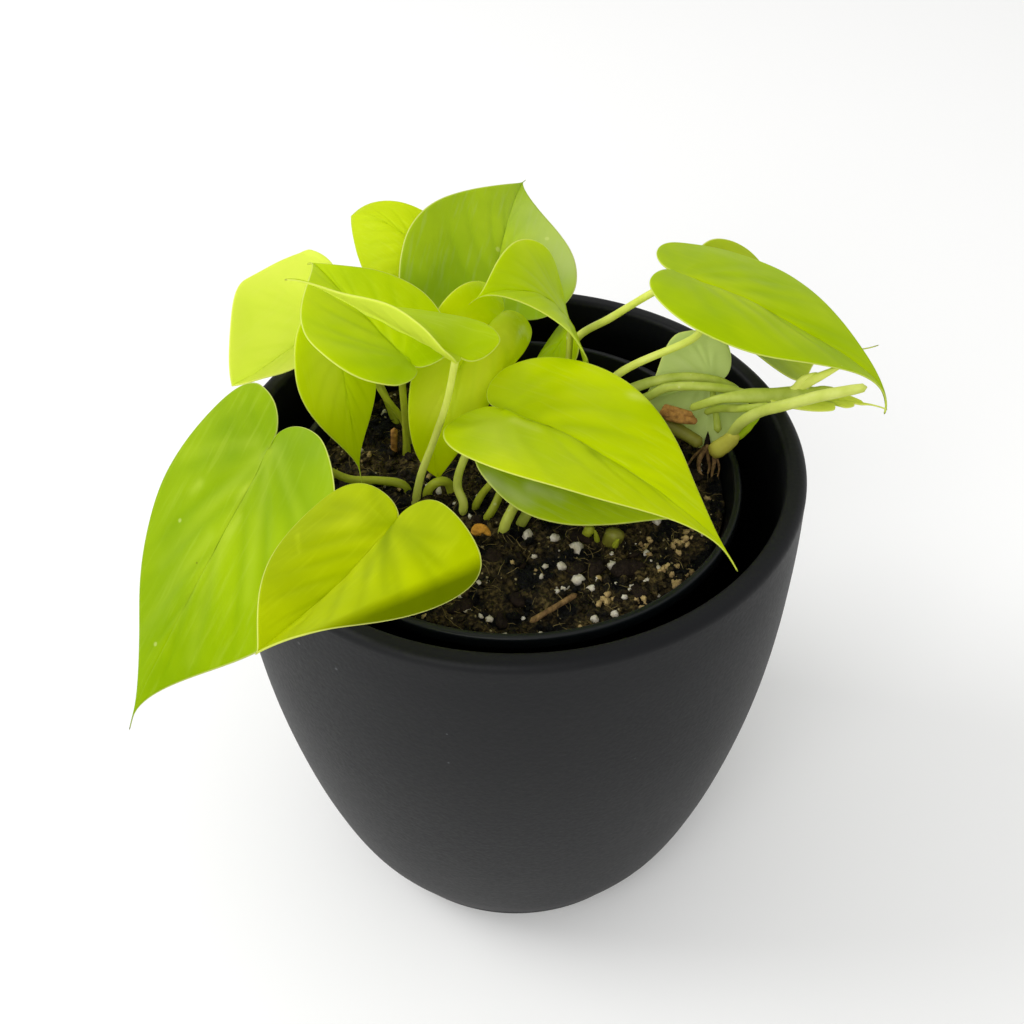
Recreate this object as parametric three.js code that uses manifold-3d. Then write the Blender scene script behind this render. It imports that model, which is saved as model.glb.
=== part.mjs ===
// A potted heartleaf philodendron with bright yellow-green leaves, in a matt charcoal pot.
// Millimetres, +Z up. The origin is the centre of the outer pot's flat foot, and the front is -Y.
import * as THREE from 'three';
import { mergeVertices } from 'three/addons/utils/BufferGeometryUtils.js';
import Module from 'manifold-3d';

const wasm = await Module();
wasm.setup();

// Clearance between pieces that touch, and how close two points are welded
const GAP = 0.3;
const WELD = 1e-4;

// Outer pot: outside radius at each height, from the foot to the start of the lip
const POT_HEIGHT = 134.2;
const POT_FOOT_RADIUS = 45.5;
const POT_OUTSIDE = [
  [47.6, 4], [53.8, 16], [59.7, 34], [64.4, 54], [67.8, 74], [69.8, 94], [70.7, 118], [70.6, 130],
];
const POT_LIP_OUTER_RADIUS = 68.4;
const POT_LIP_INNER_RADIUS = 67;
const POT_LIP_ROUND = 1.4;
const POT_MOUTH_RADIUS = 65.4;
const POT_MOUTH_FLARE = 0.4;
const POT_INNER_CORNER = 3;
const POT_WALL = 5.2;
const POT_FLOOR = 8;
const POT_SECTORS = 48;

// Nursery pot that stands inside it
const NURSERY_TOP = 126.9;
const NURSERY_RIM_RADIUS = 55.8;
const NURSERY_RIM_WIDTH = 2;
const NURSERY_RIM_DEPTH = 3.6;
const NURSERY_NECK_RADIUS = 54.4;
const NURSERY_FOOT_RADIUS = 40;
const NURSERY_WALL = 1.6;
const NURSERY_SECTORS = 40;

// Soil, a little below the nursery pot's rim, with low bumps on top
const SOIL_TOP = 122;
const SOIL_EDGE_DROP = 1.2;
const SOIL_BUMP = 0.5;
const SOIL_WAVE = 5;
const SOIL_RIPPLE = 3;
const SOIL_RINGS = 4;
const SOIL_SECTORS = 32;

// Stalks stand this deep in the soil, and end this much lower than the clearance below their leaf
const FOOT_Z = SOIL_TOP - 4.5;
const STALK_SIDES = 7;
const STALK_STEPS = 8;
const STALK_SEAT = 0.15;

// Blades. The handles shape the outline's curves, and droop starts at this share of the length.
const BLADE_THICKNESS = 0.7;
const MIDRIB_STEPS = 24;
const SINUS_SET_BACK = 0.03;
const SINUS_HANDLE = [0.65, 0.06];
const LOBE_HANDLE = 0.45;
const ROUND = 0.55;
const FLANK_HANDLE = 0.42;
const TIP_HANDLE = 0.04;
const DROOP_START = 0.7;
const FINE_RINGS = [0.22, 0.44, 0.66, 0.85, 1];
const PLAIN_RINGS = [0.3, 0.6, 0.84, 1];
const FINE_STEPS = [3, 4, 7];
const PLAIN_STEPS = [2, 4, 5];

// A blade that is turned down along a line goes round this length of arc first
const FLAP_ROUND = 3;

const brightPaint = new THREE.MeshStandardMaterial({ color: 0xb4cf12, roughness: 0.45 });
const deepPaint = new THREE.MeshStandardMaterial({ color: 0x8db41a, roughness: 0.5 });
const palePaint = new THREE.MeshStandardMaterial({ color: 0xd3e22c, roughness: 0.45 });
const greyPaint = new THREE.MeshStandardMaterial({ color: 0xa9bd55, roughness: 0.55 });
const stalkPaint = new THREE.MeshStandardMaterial({ color: 0xc9d860, roughness: 0.5 });
const dryPaint = new THREE.MeshStandardMaterial({ color: 0xa9793f, roughness: 0.8 });

const part = new THREE.Group();
part.name = 'potted_heartleaf_philodendron';

const blades = new Map();
const feet = [];

function radians(degrees) {
  return (degrees * Math.PI) / 180;
}

function clamp(value, low, high) {
  return Math.min(high, Math.max(low, value));
}

function addPiece(name, geometry, material) {
  geometry.computeVertexNormals();
  const mesh = new THREE.Mesh(geometry, material.clone());
  mesh.name = name;
  part.add(mesh);
}

function toManifold(geometry) {
  const bare = geometry.clone();
  bare.deleteAttribute('normal');
  bare.deleteAttribute('uv');
  const welded = mergeVertices(bare, WELD);
  return new wasm.Manifold(new wasm.Mesh({
    numProp: 3,
    vertProperties: new Float32Array(welded.attributes.position.array),
    triVerts: new Uint32Array(welded.index.array),
  }));
}

function fromManifold(solid) {
  const mesh = solid.getMesh();
  const geometry = new THREE.BufferGeometry();
  geometry.setAttribute('position', new THREE.BufferAttribute(new Float32Array(mesh.vertProperties), 3));
  geometry.setIndex(new THREE.BufferAttribute(new Uint32Array(mesh.triVerts), 1));
  return geometry;
}

// A solid of revolution about Z from its profile of [radius, height] points
function turned(profile, sectors) {
  const points = profile.map(([radius, height]) => new THREE.Vector2(radius, height));
  const geometry = new THREE.LatheGeometry(points, sectors);
  geometry.rotateX(Math.PI / 2);
  return geometry;
}

// The outer pot's wall keeps its thickness up to the mouth, which has a rounded lip
function outerPot() {
  const inside = POT_OUTSIDE.slice(2).reverse()
    .map(([radius, height]) => [Math.min(radius - POT_WALL, POT_MOUTH_RADIUS), height]);
  const lip = [
    [POT_LIP_OUTER_RADIUS + POT_LIP_ROUND, POT_HEIGHT - POT_LIP_ROUND],
    [POT_LIP_OUTER_RADIUS, POT_HEIGHT],
    [POT_LIP_INNER_RADIUS, POT_HEIGHT],
    [POT_MOUTH_RADIUS + POT_MOUTH_FLARE, POT_HEIGHT - POT_LIP_ROUND],
  ];
  return turned([
    [0, 0],
    [POT_FOOT_RADIUS, 0],
    ...POT_OUTSIDE,
    ...lip,
    ...inside,
    [POT_OUTSIDE[1][0] - POT_WALL, POT_FLOOR + POT_INNER_CORNER],
    [POT_OUTSIDE[0][0] - POT_WALL, POT_FLOOR],
    [0, POT_FLOOR],
  ], POT_SECTORS);
}

// Radius of the nursery pot's outside wall at a height
function nurseryRadius(z) {
  const bottom = POT_FLOOR + GAP;
  const top = NURSERY_TOP - NURSERY_RIM_DEPTH;
  const rise = clamp((z - bottom) / (top - bottom), 0, 1);
  return NURSERY_FOOT_RADIUS + (NURSERY_NECK_RADIUS - NURSERY_FOOT_RADIUS) * rise;
}

function nurseryPot() {
  const bottom = POT_FLOOR + GAP;
  const neck = NURSERY_TOP - NURSERY_RIM_DEPTH;
  const floor = bottom + NURSERY_WALL;
  return turned([
    [0, bottom],
    [NURSERY_FOOT_RADIUS, bottom],
    [nurseryRadius(neck), neck],
    [NURSERY_RIM_RADIUS, neck],
    [NURSERY_RIM_RADIUS, NURSERY_TOP],
    [NURSERY_RIM_RADIUS - NURSERY_RIM_WIDTH, NURSERY_TOP],
    [nurseryRadius(neck) - NURSERY_WALL, neck],
    [nurseryRadius(floor) - NURSERY_WALL, floor],
    [0, floor],
  ], NURSERY_SECTORS);
}

// Height of the soil's bumpy top at a point
function soilHeight(x, y) {
  const out = Math.hypot(x, y) / NURSERY_NECK_RADIUS;
  const bumps = Math.sin(x / SOIL_WAVE + 1) * Math.cos(y / SOIL_WAVE) + Math.sin((x + y) / SOIL_RIPPLE) / 2;
  return SOIL_TOP + SOIL_BUMP * bumps - SOIL_EDGE_DROP * out ** 4;
}

function soil() {
  const bottom = POT_FLOOR + GAP + NURSERY_WALL + GAP;
  const inset = NURSERY_WALL + GAP;
  const edgeTop = nurseryRadius(SOIL_TOP - SOIL_EDGE_DROP) - inset - GAP;
  const edgeBottom = nurseryRadius(bottom) - inset - GAP;
  const positions = [0, 0, soilHeight(0, 0), 0, 0, bottom];
  const index = [];
  const rows = [];
  for (let ring = 1; ring <= SOIL_RINGS; ring += 1) {
    const radius = (edgeTop * ring) / SOIL_RINGS;
    rows.push((angle) => {
      const x = radius * Math.cos(angle);
      const y = radius * Math.sin(angle);
      return [x, y, soilHeight(x, y)];
    });
  }
  rows.push((angle) => [edgeBottom * Math.cos(angle), edgeBottom * Math.sin(angle), bottom]);
  rows.forEach((place) => {
    for (let sector = 0; sector < SOIL_SECTORS; sector += 1) {
      positions.push(...place((2 * Math.PI * sector) / SOIL_SECTORS));
    }
  });
  const at = (row, sector) => 2 + row * SOIL_SECTORS + (sector % SOIL_SECTORS);
  for (let sector = 0; sector < SOIL_SECTORS; sector += 1) {
    index.push(0, at(0, sector), at(0, sector + 1));
    for (let row = 0; row + 1 < rows.length; row += 1) {
      index.push(at(row, sector), at(row + 1, sector), at(row + 1, sector + 1));
      index.push(at(row, sector), at(row + 1, sector + 1), at(row, sector + 1));
    }
    index.push(1, at(rows.length - 1, sector + 1), at(rows.length - 1, sector));
  }
  const geometry = new THREE.BufferGeometry();
  geometry.setAttribute('position', new THREE.Float32BufferAttribute(positions, 3));
  geometry.setIndex(index);
  const holes = feet.map((foot) => toManifold(foot));
  return fromManifold(toManifold(geometry).subtract(wasm.Manifold.union(holes)));
}

// Half of a blade's flat outline as points [along, out], from the sinus round a lobe to the tip: three curves
function halfOutline(leaf, side) {
  const { length, tip = TIP_HANDLE } = leaf;
  const half = leaf.half[side];
  const lobe = leaf.lobe[side];
  const shoulder = leaf.shoulder * half;
  const widest = leaf.widest * length;
  const curves = [
    [[-SINUS_SET_BACK * length, 0], [-SINUS_HANDLE[0] * lobe, SINUS_HANDLE[1] * half],
      [-lobe, LOBE_HANDLE * shoulder], [-lobe, shoulder]],
    [[-lobe, shoulder], [-lobe, shoulder + ROUND * (half - shoulder)],
      [widest - ROUND * (widest + lobe), half], [widest, half]],
    [[widest, half], [widest + FLANK_HANDLE * (length - widest), half],
      [(1 - leaf.drip) * length, tip * half], [length, 0]],
  ];
  const steps = leaf.fine ? FINE_STEPS : PLAIN_STEPS;
  const points = [curves[0][0]];
  curves.forEach((corners, order) => {
    const curve = new THREE.CubicBezierCurve(...corners.map(([along, out]) => new THREE.Vector2(along, out)));
    for (let i = 1; i <= steps[order]; i += 1) {
      points.push(curve.getPoint(i / steps[order]).toArray());
    }
  });
  return points;
}

// The midrib's direction, and the blade's left and upward directions, at a share of its length
function frameAt(leaf, share) {
  const past = clamp((share - DROOP_START) / (1 - DROOP_START), 0, 2);
  const pitch = radians(leaf.pitch - leaf.bend * share - leaf.droop * past ** 2);
  const heading = radians(leaf.heading + leaf.sweep * share);
  const roll = radians(leaf.roll + leaf.twist * share);
  const along = new THREE.Vector3(
    Math.cos(pitch) * Math.cos(heading),
    Math.cos(pitch) * Math.sin(heading),
    Math.sin(pitch),
  );
  const level = new THREE.Vector3(-Math.sin(heading), Math.cos(heading), 0);
  const above = new THREE.Vector3().crossVectors(along, level);
  const left = level.multiplyScalar(Math.cos(roll)).addScaledVector(above, Math.sin(roll));
  const upward = new THREE.Vector3().crossVectors(along, left);
  return { along, left, upward };
}

// Turns down what lies beyond the flap's line on the flat blade. The distance beyond it, times the share
// of it that is left, goes round the arc and then straight on. Gives the flat point that this stands over
// and how far it sinks.
function bendFlap(flap, x, y) {
  const [start, end] = flap.line.map(([along, out]) => new THREE.Vector2(along, out));
  const ahead = end.clone().sub(start).normalize();
  const outward = new THREE.Vector2(ahead.y, -ahead.x);
  if (outward.dot(start) < 0) outward.negate();
  const beyond = Math.max(0, new THREE.Vector2(x, y).sub(start).dot(outward));
  const angle = radians(flap.angle);
  const turn = angle * clamp((beyond * flap.share) / FLAP_ROUND, 0, 1);
  const straight = Math.max(0, beyond * flap.share - FLAP_ROUND);
  const kept = (FLAP_ROUND / angle) * Math.sin(turn) + straight * Math.cos(angle);
  const sunk = (FLAP_ROUND / angle) * (1 - Math.cos(turn)) + straight * Math.sin(angle);
  return [x + outward.x * (kept - beyond), y + outward.y * (kept - beyond), sunk];
}

// Places a point of the flat blade, its distance along the midrib and out to the left, in space
function bladePoint(leaf, along, out) {
  const [x, y, sunk] = leaf.flap ? bendFlap(leaf.flap, along, out) : [along, out, 0];
  const point = new THREE.Vector3(...leaf.base);
  const step = x / MIDRIB_STEPS;
  for (let i = 0; i < MIDRIB_STEPS; i += 1) {
    point.addScaledVector(frameAt(leaf, ((i + 0.5) * step) / leaf.length).along, step);
  }
  const side = y < 0 ? 1 : 0;
  const share = x / leaf.length;
  const { left, upward } = frameAt(leaf, share);
  const fold = radians(leaf.fold[side] + leaf.close * clamp(share, -0.5, 1));
  const curl = radians(leaf.curl[side]);
  const turn = fold + (curl * Math.abs(y)) / leaf.half[side];
  const radius = leaf.half[side] / curl;
  const aside = Math.sign(y) * (radius * (Math.sin(turn) - Math.sin(fold)) + sunk * Math.sin(turn));
  const raised = radius * (Math.cos(fold) - Math.cos(turn)) - sunk * Math.cos(turn);
  return point.addScaledVector(left, aside).addScaledVector(upward, raised);
}

// A blade is its curved middle surface thickened to both sides, with rings of the outline about the base
function addBlade(name, leaf) {
  blades.set(name, leaf);
  const left = halfOutline(leaf, 0);
  const right = halfOutline(leaf, 1).slice(1, -1).reverse().map(([along, out]) => [along, -out]);
  const outline = [...left, ...right];
  const count = outline.length;
  const rings = leaf.fine ? FINE_RINGS : PLAIN_RINGS;
  const middle = [new THREE.Vector3(...leaf.base)];
  rings.forEach((ring) => {
    outline.forEach(([along, out]) => middle.push(bladePoint(leaf, ring * along, ring * out)));
  });
  const at = (ring, j) => 1 + ring * count + (j % count);
  const top = [];
  for (let j = 0; j < count; j += 1) {
    top.push(0, at(0, j + 1), at(0, j));
    for (let ring = 0; ring + 1 < rings.length; ring += 1) {
      top.push(at(ring, j), at(ring + 1, j + 1), at(ring + 1, j));
      top.push(at(ring, j), at(ring, j + 1), at(ring + 1, j + 1));
    }
  }
  const sheet = new THREE.BufferGeometry().setFromPoints(middle);
  sheet.setIndex(top);
  sheet.computeVertexNormals();
  const positions = [];
  [1, -1].forEach((face) => {
    middle.forEach((point, i) => {
      const normal = new THREE.Vector3().fromBufferAttribute(sheet.attributes.normal, i);
      positions.push(...point.clone().addScaledVector(normal, (face * BLADE_THICKNESS) / 2).toArray());
    });
  });
  const under = middle.length;
  const index = [...top];
  for (let i = 0; i < top.length; i += 3) {
    index.push(under + top[i], under + top[i + 2], under + top[i + 1]);
  }
  for (let j = 0; j < count; j += 1) {
    const a = at(rings.length - 1, j);
    const b = at(rings.length - 1, j + 1);
    index.push(a, b, under + b);
    index.push(a, under + b, under + a);
  }
  const geometry = new THREE.BufferGeometry();
  geometry.setAttribute('position', new THREE.Float32BufferAttribute(positions, 3));
  geometry.setIndex(index);
  addPiece(name, geometry, leaf.paint ?? brightPaint);
}

// A round bar along a smooth route
function bar(route, radius) {
  const outline = new THREE.Shape();
  for (let side = 0; side < STALK_SIDES; side += 1) {
    const angle = (2 * Math.PI * side) / STALK_SIDES;
    const x = radius * Math.cos(angle);
    const y = radius * Math.sin(angle);
    if (side === 0) outline.moveTo(x, y);
    else outline.lineTo(x, y);
  }
  outline.closePath();
  const curve = new THREE.CatmullRomCurve3(route, false, 'centripetal');
  return new THREE.ExtrudeGeometry(outline, { steps: STALK_STEPS, extrudePath: curve, bevelEnabled: false });
}

// A stalk along its route. Where it carries a leaf, the route goes on to just under that leaf's base.
// Where it is rooted, the soil gets a hole that is wider all round.
function addStalk(name, radius, route, carries = null, material = stalkPaint) {
  const points = route.map((point) => new THREE.Vector3(...point));
  if (carries) {
    const leaf = blades.get(carries);
    const { upward } = frameAt(leaf, 0);
    const end = new THREE.Vector3(...leaf.base);
    const arrival = end.clone().sub(points[points.length - 1]).normalize();
    const lean = Math.sqrt(1 - arrival.dot(upward) ** 2);
    end.addScaledVector(upward, -(BLADE_THICKNESS / 2 + GAP + STALK_SEAT + radius * lean));
    points.push(end);
  }
  addPiece(name, bar(points, radius), material);
  if (points[0].z < SOIL_TOP) {
    const deeper = points.map((point) => {
      const drop = point.z < SOIL_TOP ? GAP : 0;
      return new THREE.Vector3(point.x, point.y, point.z - drop);
    });
    feet.push(bar(deeper, radius + GAP / Math.cos(Math.PI / STALK_SIDES)));
  }
}

// Each blade starts at its base, where its stalk meets it. heading, pitch and roll (degrees) aim its
// midrib there: heading 0 is +X and 90 is +Y, pitch is up, and roll lifts the left half. length is from
// base to tip. half, lobe, fold and curl hold the left and then the right value: half width, length of
// the lobe behind the base, slope of the half beside the midrib, and the change in that slope out to the
// margin. widest, drip and shoulder set where the outline is widest, how long its narrow tip is, and how
// blunt its lobes are. tip makes the end blunt. From base to tip, bend lowers the pitch, sweep turns the
// heading, twist adds roll and close adds fold, and droop bends the last third down. A flap's line goes
// between two points of the flat blade, along and out.
addBlade('leaf_front', {
  base: [-2.2, -3.6, 149.1], heading: -37, pitch: 9, roll: 6,
  length: 68.9, half: [26.5, 23.1], lobe: [10.6, 8.7], widest: 0.18, drip: 0.26, shoulder: 0.49,
  bend: 37, droop: 28, sweep: -2, twist: -14, fold: [1, 9], close: 0, curl: [-10, 2], fine: true,
});
addBlade('leaf_under_front', {
  base: [0.8, -5.4, 136.3], heading: -26, pitch: -15, roll: 0,
  length: 47.2, half: [21.5, 17.3], lobe: [12.5, 8.3], widest: 0.18, drip: 0.29, shoulder: 0.5,
  bend: -19, droop: -8, sweep: 4, twist: 10, fold: [7, 11], close: -6, curl: [1, -9], fine: true,
});
addBlade('leaf_front_left', {
  base: [-24.6, -56.8, 162], heading: -135, pitch: -25, roll: 4,
  length: 40.1, half: [29.1, 22.4], lobe: [9.8, 4.3], widest: 0.07, drip: 0, shoulder: 0.39,
  bend: -38, droop: -1, sweep: 14, twist: -5, fold: [25, 10], close: 16, curl: [-53, -40], fine: true,
  flap: { line: [[30.9, 9.2], [-5.3, 23.6]], angle: 40, share: 0.7 },
});
addBlade('leaf_left_large', {
  base: [-55.7, -20.6, 151.1], heading: -134, pitch: -46, roll: 3,
  length: 73.5, half: [33, 27.3], lobe: [10.3, 11.5], widest: 0.23, drip: 0.26, shoulder: 0.48,
  bend: -2, droop: 23, sweep: 2, twist: -18, fold: [11, -2], close: -12, curl: [-9, -2], fine: true,
  paint: deepPaint,
});
addBlade('leaf_young_folded', {
  base: [-12.9, -9.2, 168.9], heading: 159, pitch: 19, roll: 9,
  length: 42.8, half: [18.3, 17.5], lobe: [1.7, 6.5], widest: 0.19, drip: 0.34, shoulder: 0.59,
  bend: 0, droop: 35, sweep: 4, twist: 41, fold: [15, 12], close: -11, curl: [43, -17],
});
addBlade('leaf_centre_left', {
  base: [-24.6, 1.8, 159.6], heading: 129, pitch: 10, roll: -3,
  length: 51.2, half: [18.9, 15.5], lobe: [6.9, 5.2], widest: 0.23, drip: 0.25, shoulder: 0.49,
  bend: 13, droop: 40, sweep: -10, twist: -13, fold: [21, 20], close: 1, curl: [-15, -18], fine: true,
});
addBlade('leaf_hanging', {
  base: [-41.8, 12.9, 155.6], heading: -81, pitch: -46, roll: -15,
  length: 34, half: [9.6, 13.4], lobe: [7.2, 8.6], widest: 0.2, drip: 0.28, shoulder: 0.5,
  bend: 23, droop: 3, sweep: 11, twist: -7, fold: [2, 5], close: -4, curl: [-13, -8],
});
addBlade('leaf_back_large', {
  base: [-6.8, 41.9, 145], heading: 82, pitch: 27, roll: 5,
  length: 52.8, half: [26.9, 22.9], lobe: [12.6, 1.2], widest: 0.22, drip: 0.25, shoulder: 0.51,
  bend: 24, droop: 27, sweep: -7, twist: 17, fold: [19, 15], close: 8, curl: [-4, -14], fine: true,
  paint: deepPaint,
});
addBlade('leaf_centre_folded', {
  base: [14.9, 29.4, 149.3], heading: -156, pitch: 67, roll: -22,
  length: 37.9, half: [15.9, 22.3], lobe: [7.1, 1.9], widest: 0.21, drip: 0.24, shoulder: 0.49,
  bend: 70, droop: 23, sweep: 12, twist: -2, fold: [8, -17], close: 15, curl: [5, 28],
});
addBlade('leaf_centre_small', {
  base: [12.5, 36.7, 139.9], heading: -134, pitch: -38, roll: 18,
  length: 19.1, half: [8.9, 9.3], lobe: [2.5, 6.1], widest: 0.22, drip: 0.26, shoulder: 0.48,
  bend: -8, droop: 17, sweep: -1, twist: -3, fold: [7, -1], close: -6, curl: [-33, -32],
});
addBlade('leaf_centre_curled', {
  base: [-4.6, 26.9, 154.3], heading: -116, pitch: 9, roll: -24,
  length: 52, half: [15.6, 13.3], lobe: [11.9, 8.6], widest: 0.18, drip: 0.26, shoulder: 0.51,
  bend: 112, droop: 20, sweep: -13, twist: 0, fold: [15, 18], close: 4, curl: [-108, -8], fine: true,
});
addBlade('leaf_back_left', {
  base: [-50, 41, 144.5], heading: -131, pitch: -23, roll: -11,
  length: 30.1, half: [18.1, 23.1], lobe: [9.5, 21.8], widest: 0.21, drip: 0.01, shoulder: 0.56,
  bend: -14, droop: 1, sweep: -19, twist: -13, fold: [26, 17], close: 27, curl: [6, -18],
  tip: 0.4, paint: palePaint,
});
addBlade('leaf_back_small', {
  base: [-22.6, 53, 155.5], heading: 147, pitch: 39, roll: -17,
  length: 28.8, half: [16.8, 10.2], lobe: [7.5, 6.5], widest: 0.24, drip: 0.02, shoulder: 0.5,
  bend: 66, droop: 16, sweep: -8, twist: -10, fold: [-5, 7], close: -11, curl: [-31, -15],
  tip: 0.45, paint: palePaint,
});
addBlade('leaf_right_large', {
  base: [40.3, 25.7, 167.5], heading: -22, pitch: -9, roll: -10,
  length: 64.3, half: [25.1, 23.3], lobe: [8.8, 5.4], widest: 0.2, drip: 0.27, shoulder: 0.44,
  bend: 26, droop: 65, sweep: 2, twist: 8, fold: [7, 11], close: 4, curl: [-18, -32], fine: true,
});
addBlade('leaf_right_under', {
  base: [51.3, 35.3, 149.6], heading: 17, pitch: -31, roll: 19,
  length: 52.7, half: [24.4, 22.7], lobe: [8.9, 7.8], widest: 0.24, drip: 0.54, shoulder: 0.49,
  bend: -13, droop: -39, sweep: -7, twist: -7, fold: [19, 25], close: -32, curl: [0.5, -1],
});
addBlade('leaf_right_underside', {
  base: [50.1, 21.6, 137.7], heading: 191, pitch: -10, roll: 124,
  length: 21.7, half: [15.6, 17.2], lobe: [6.3, 7.3], widest: 0.23, drip: 0.36, shoulder: 0.52,
  bend: -5, droop: 12, sweep: 0, twist: -1, fold: [-6, -4], close: 0, curl: [14, -28], paint: greyPaint,
});
addBlade('leaf_right_far', {
  base: [63.2, 5.5, 146.1], heading: -6, pitch: 2, roll: 0,
  length: 27.1, half: [5.7, 6.5], lobe: [1.8, 1.9], widest: 0.28, drip: 0.26, shoulder: 0.48,
  bend: 14, droop: 15, sweep: 4, twist: 10, fold: [4, 6], close: 4, curl: [-30, -13], paint: palePaint,
});

// Petioles, each ending under its leaf
addStalk('petiole_front', 1.2, [
  [-13.8, -9, FOOT_Z], [-12.6, -8.6, 124], [-14, -6.8, 128], [-12.7, -6.5, 135], [-8.8, -4.4, 142],
], 'leaf_front');
addStalk('petiole_under_front', 1.1, [[-11.1, -6.4, FOOT_Z], [-7.6, -7.6, 127]], 'leaf_under_front');
addStalk('petiole_front_left', 1.2, [
  [-19, -32, FOOT_Z], [-20, -34, 130], [-23, -41, 146],
], 'leaf_front_left');
addStalk('petiole_left_large', 1.2, [
  [-26, -1.4, FOOT_Z], [-28, -1, 123.6], [-33.6, -0.5, 124.6], [-41, -0.2, 124.8],
  [-45.5, -0.8, 128], [-50.5, -5, 136],
], 'leaf_left_large');
addStalk('petiole_young', 1.1, [
  [-25.3, -5.7, FOOT_Z], [-23.1, -5.9, 130], [-19.2, -5.9, 142], [-15.5, -8.5, 156],
], 'leaf_young_folded');
addStalk('petiole_centre_left', 1.1, [
  [-27.9, 13, FOOT_Z], [-27.5, 13.4, 130], [-27.3, 10.4, 140], [-27.3, 9.9, 146],
  [-26.6, 7.4, 151.5],
], 'leaf_centre_left');
addStalk('petiole_hanging', 1, [
  [-27.3, 17.4, FOOT_Z], [-28, 17, 128], [-32.5, 12.6, 141.5], [-37.5, 17, 149],
], 'leaf_hanging');
addStalk('petiole_back_large', 1.2, [[-3, 30, FOOT_Z], [-4, 33, 130]], 'leaf_back_large');
addStalk('petiole_centre_folded', 1.1, [
  [-9.6, -12.6, FOOT_Z], [-5.5, -11.9, 125], [-1.2, -4.2, 130], [7, 8, 132], [13, 21, 142],
], 'leaf_centre_folded');
addStalk('petiole_centre_small', 0.9, [[9, 30, FOOT_Z], [11, 33, 132]], 'leaf_centre_small');
addStalk('petiole_centre_curled', 1.2, [
  [-10, 25, FOOT_Z], [-9, 27, 135], [-7, 29.5, 144],
], 'leaf_centre_curled');
addStalk('petiole_back_left', 1.1, [[-30, 25, FOOT_Z], [-36, 31, 132], [-46, 40, 143]], 'leaf_back_left');
addStalk('petiole_back_small', 1, [[-15, 40, FOOT_Z], [-16.5, 44, 135]], 'leaf_back_small');
addStalk('petiole_right_large', 1.2, [
  [12, 40, FOOT_Z], [13, 40, 130], [16.5, 37.7, 140.5], [24.2, 32.5, 150], [32, 27, 160],
], 'leaf_right_large');
addStalk('petiole_right_under', 1.25, [
  [-3.5, -15.2, FOOT_Z], [-2.2, -16.3, 125], [4.8, -4.2, 130], [16.2, 10.7, 134.5],
  [25.5, 18, 143], [44.8, 21.6, 152.2], [47.4, 29, 152.4],
], 'leaf_right_under');
addStalk('petiole_right_underside', 1, [
  [50.7, 9.1, 131.5], [50.3, 12.1, 134.5], [49.6, 15.6, 137.5],
], 'leaf_right_underside');
addStalk('petiole_right_far', 1.2, [
  [43, 8.9, 139.5], [45.2, 7.7, 141.5], [49.6, 6.2, 144.5], [55.1, 6.1, 145.8],
], 'leaf_right_far');

// Vines, shoots and dry pieces on the soil
addStalk('vine_arch', 1.2, [
  [-21.6, -3.4, FOOT_Z], [-21.4, -3.4, 124], [-19, -3.2, 126.4], [-16.8, -2, 125.2],
  [-15.4, -0.6, FOOT_Z],
]);
addStalk('vine_stub_front', 1.3, [[16, -16, 118], [17.9, -20, 126.5]]);
addStalk('vine_base_front', 2.5, [[22.4, -19.5, 118], [23.8, -21.1, 126.5]]);
addStalk('vine_right', 1.7, [
  [36, 3, FOOT_Z], [36.5, 6, 125], [37.5, 10.5, 133], [42.4, 8.8, 131.5], [46.6, 6.3, 130],
]);
addStalk('stalk_right_cut', 1.25, [
  [52.9, 5.5, 133], [54.8, 1.7, 141], [58.3, -2.3, 147.5], [62.5, -6.4, 152.5], [69.6, -8.8, 157],
  [79.5, -10.1, 160.5],
]);
addStalk('stalk_right_upper', 1.15, [
  [0.2, -12, FOOT_Z], [3, -13, 125], [12, 2, 128.5], [21.5, 17.1, 134.5], [29.6, 17.2, 139.5],
  [36.2, 17.2, 142], [43.5, 16.6, 143.3], [50.9, 16, 142.5], [55.6, 15.7, 140.5],
]);
addStalk('stalk_right_middle', 1.15, [
  [22, 3, FOOT_Z], [24.5, 10, 127], [25.2, 15.3, 134], [33, 14.8, 138.5], [37.2, 14.5, 141.5],
  [42.8, 12.3, 143.8], [50.4, 10.8, 144.3], [56.9, 9.7, 143.6],
]);
addStalk('stalk_right_low', 1.1, [
  [47.1, 11.5, 136], [49.6, 9.9, 138.5], [55.5, 3.9, 143.5], [60.6, 0.4, 147.2],
]);
addStalk('shoot_right', 1, [[67.6, 4.7, 148], [77, 6.7, 153]]);
addStalk('sheath_right', 1.3, [[55.5, 6.4, 130.5], [58, 5.4, 135.5], [60.8, 3.6, 141]]);
addStalk('node_right', 2.1, [[49.5, 5.8, 127.8], [51.5, 5.8, 130], [52.4, 5.6, 131.8]]);
addStalk('sheath_left', 0.9, [[-31.2, 13.4, FOOT_Z], [-31, 13.6, 123], [-30.6, 14, 129.5]], null, dryPaint);
addStalk('stub_right', 1.8, [[36.5, 10.7, 137], [40.4, 9.5, 136.7], [44.1, 9.1, 136]], null, dryPaint);
addStalk('root_right', 0.8, [[48.2, 14.4, 117.5], [47.5, 8.9, 125.5]], null, dryPaint);
addStalk('chip_front', 0.8, [
  [-10.6, -18.6, 123.6], [-7.7, -19.7, 126], [-5.8, -20.4, 124.4],
], null, dryPaint);
addStalk('bark_front', 1, [[22.1, -31.3, 123.2], [30.5, -29.3, 123]], null, dryPaint);
addStalk('twig_front', 0.7, [[3.2, -47, 122.9], [14.1, -38.7, 123.4]], null, dryPaint);

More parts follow.
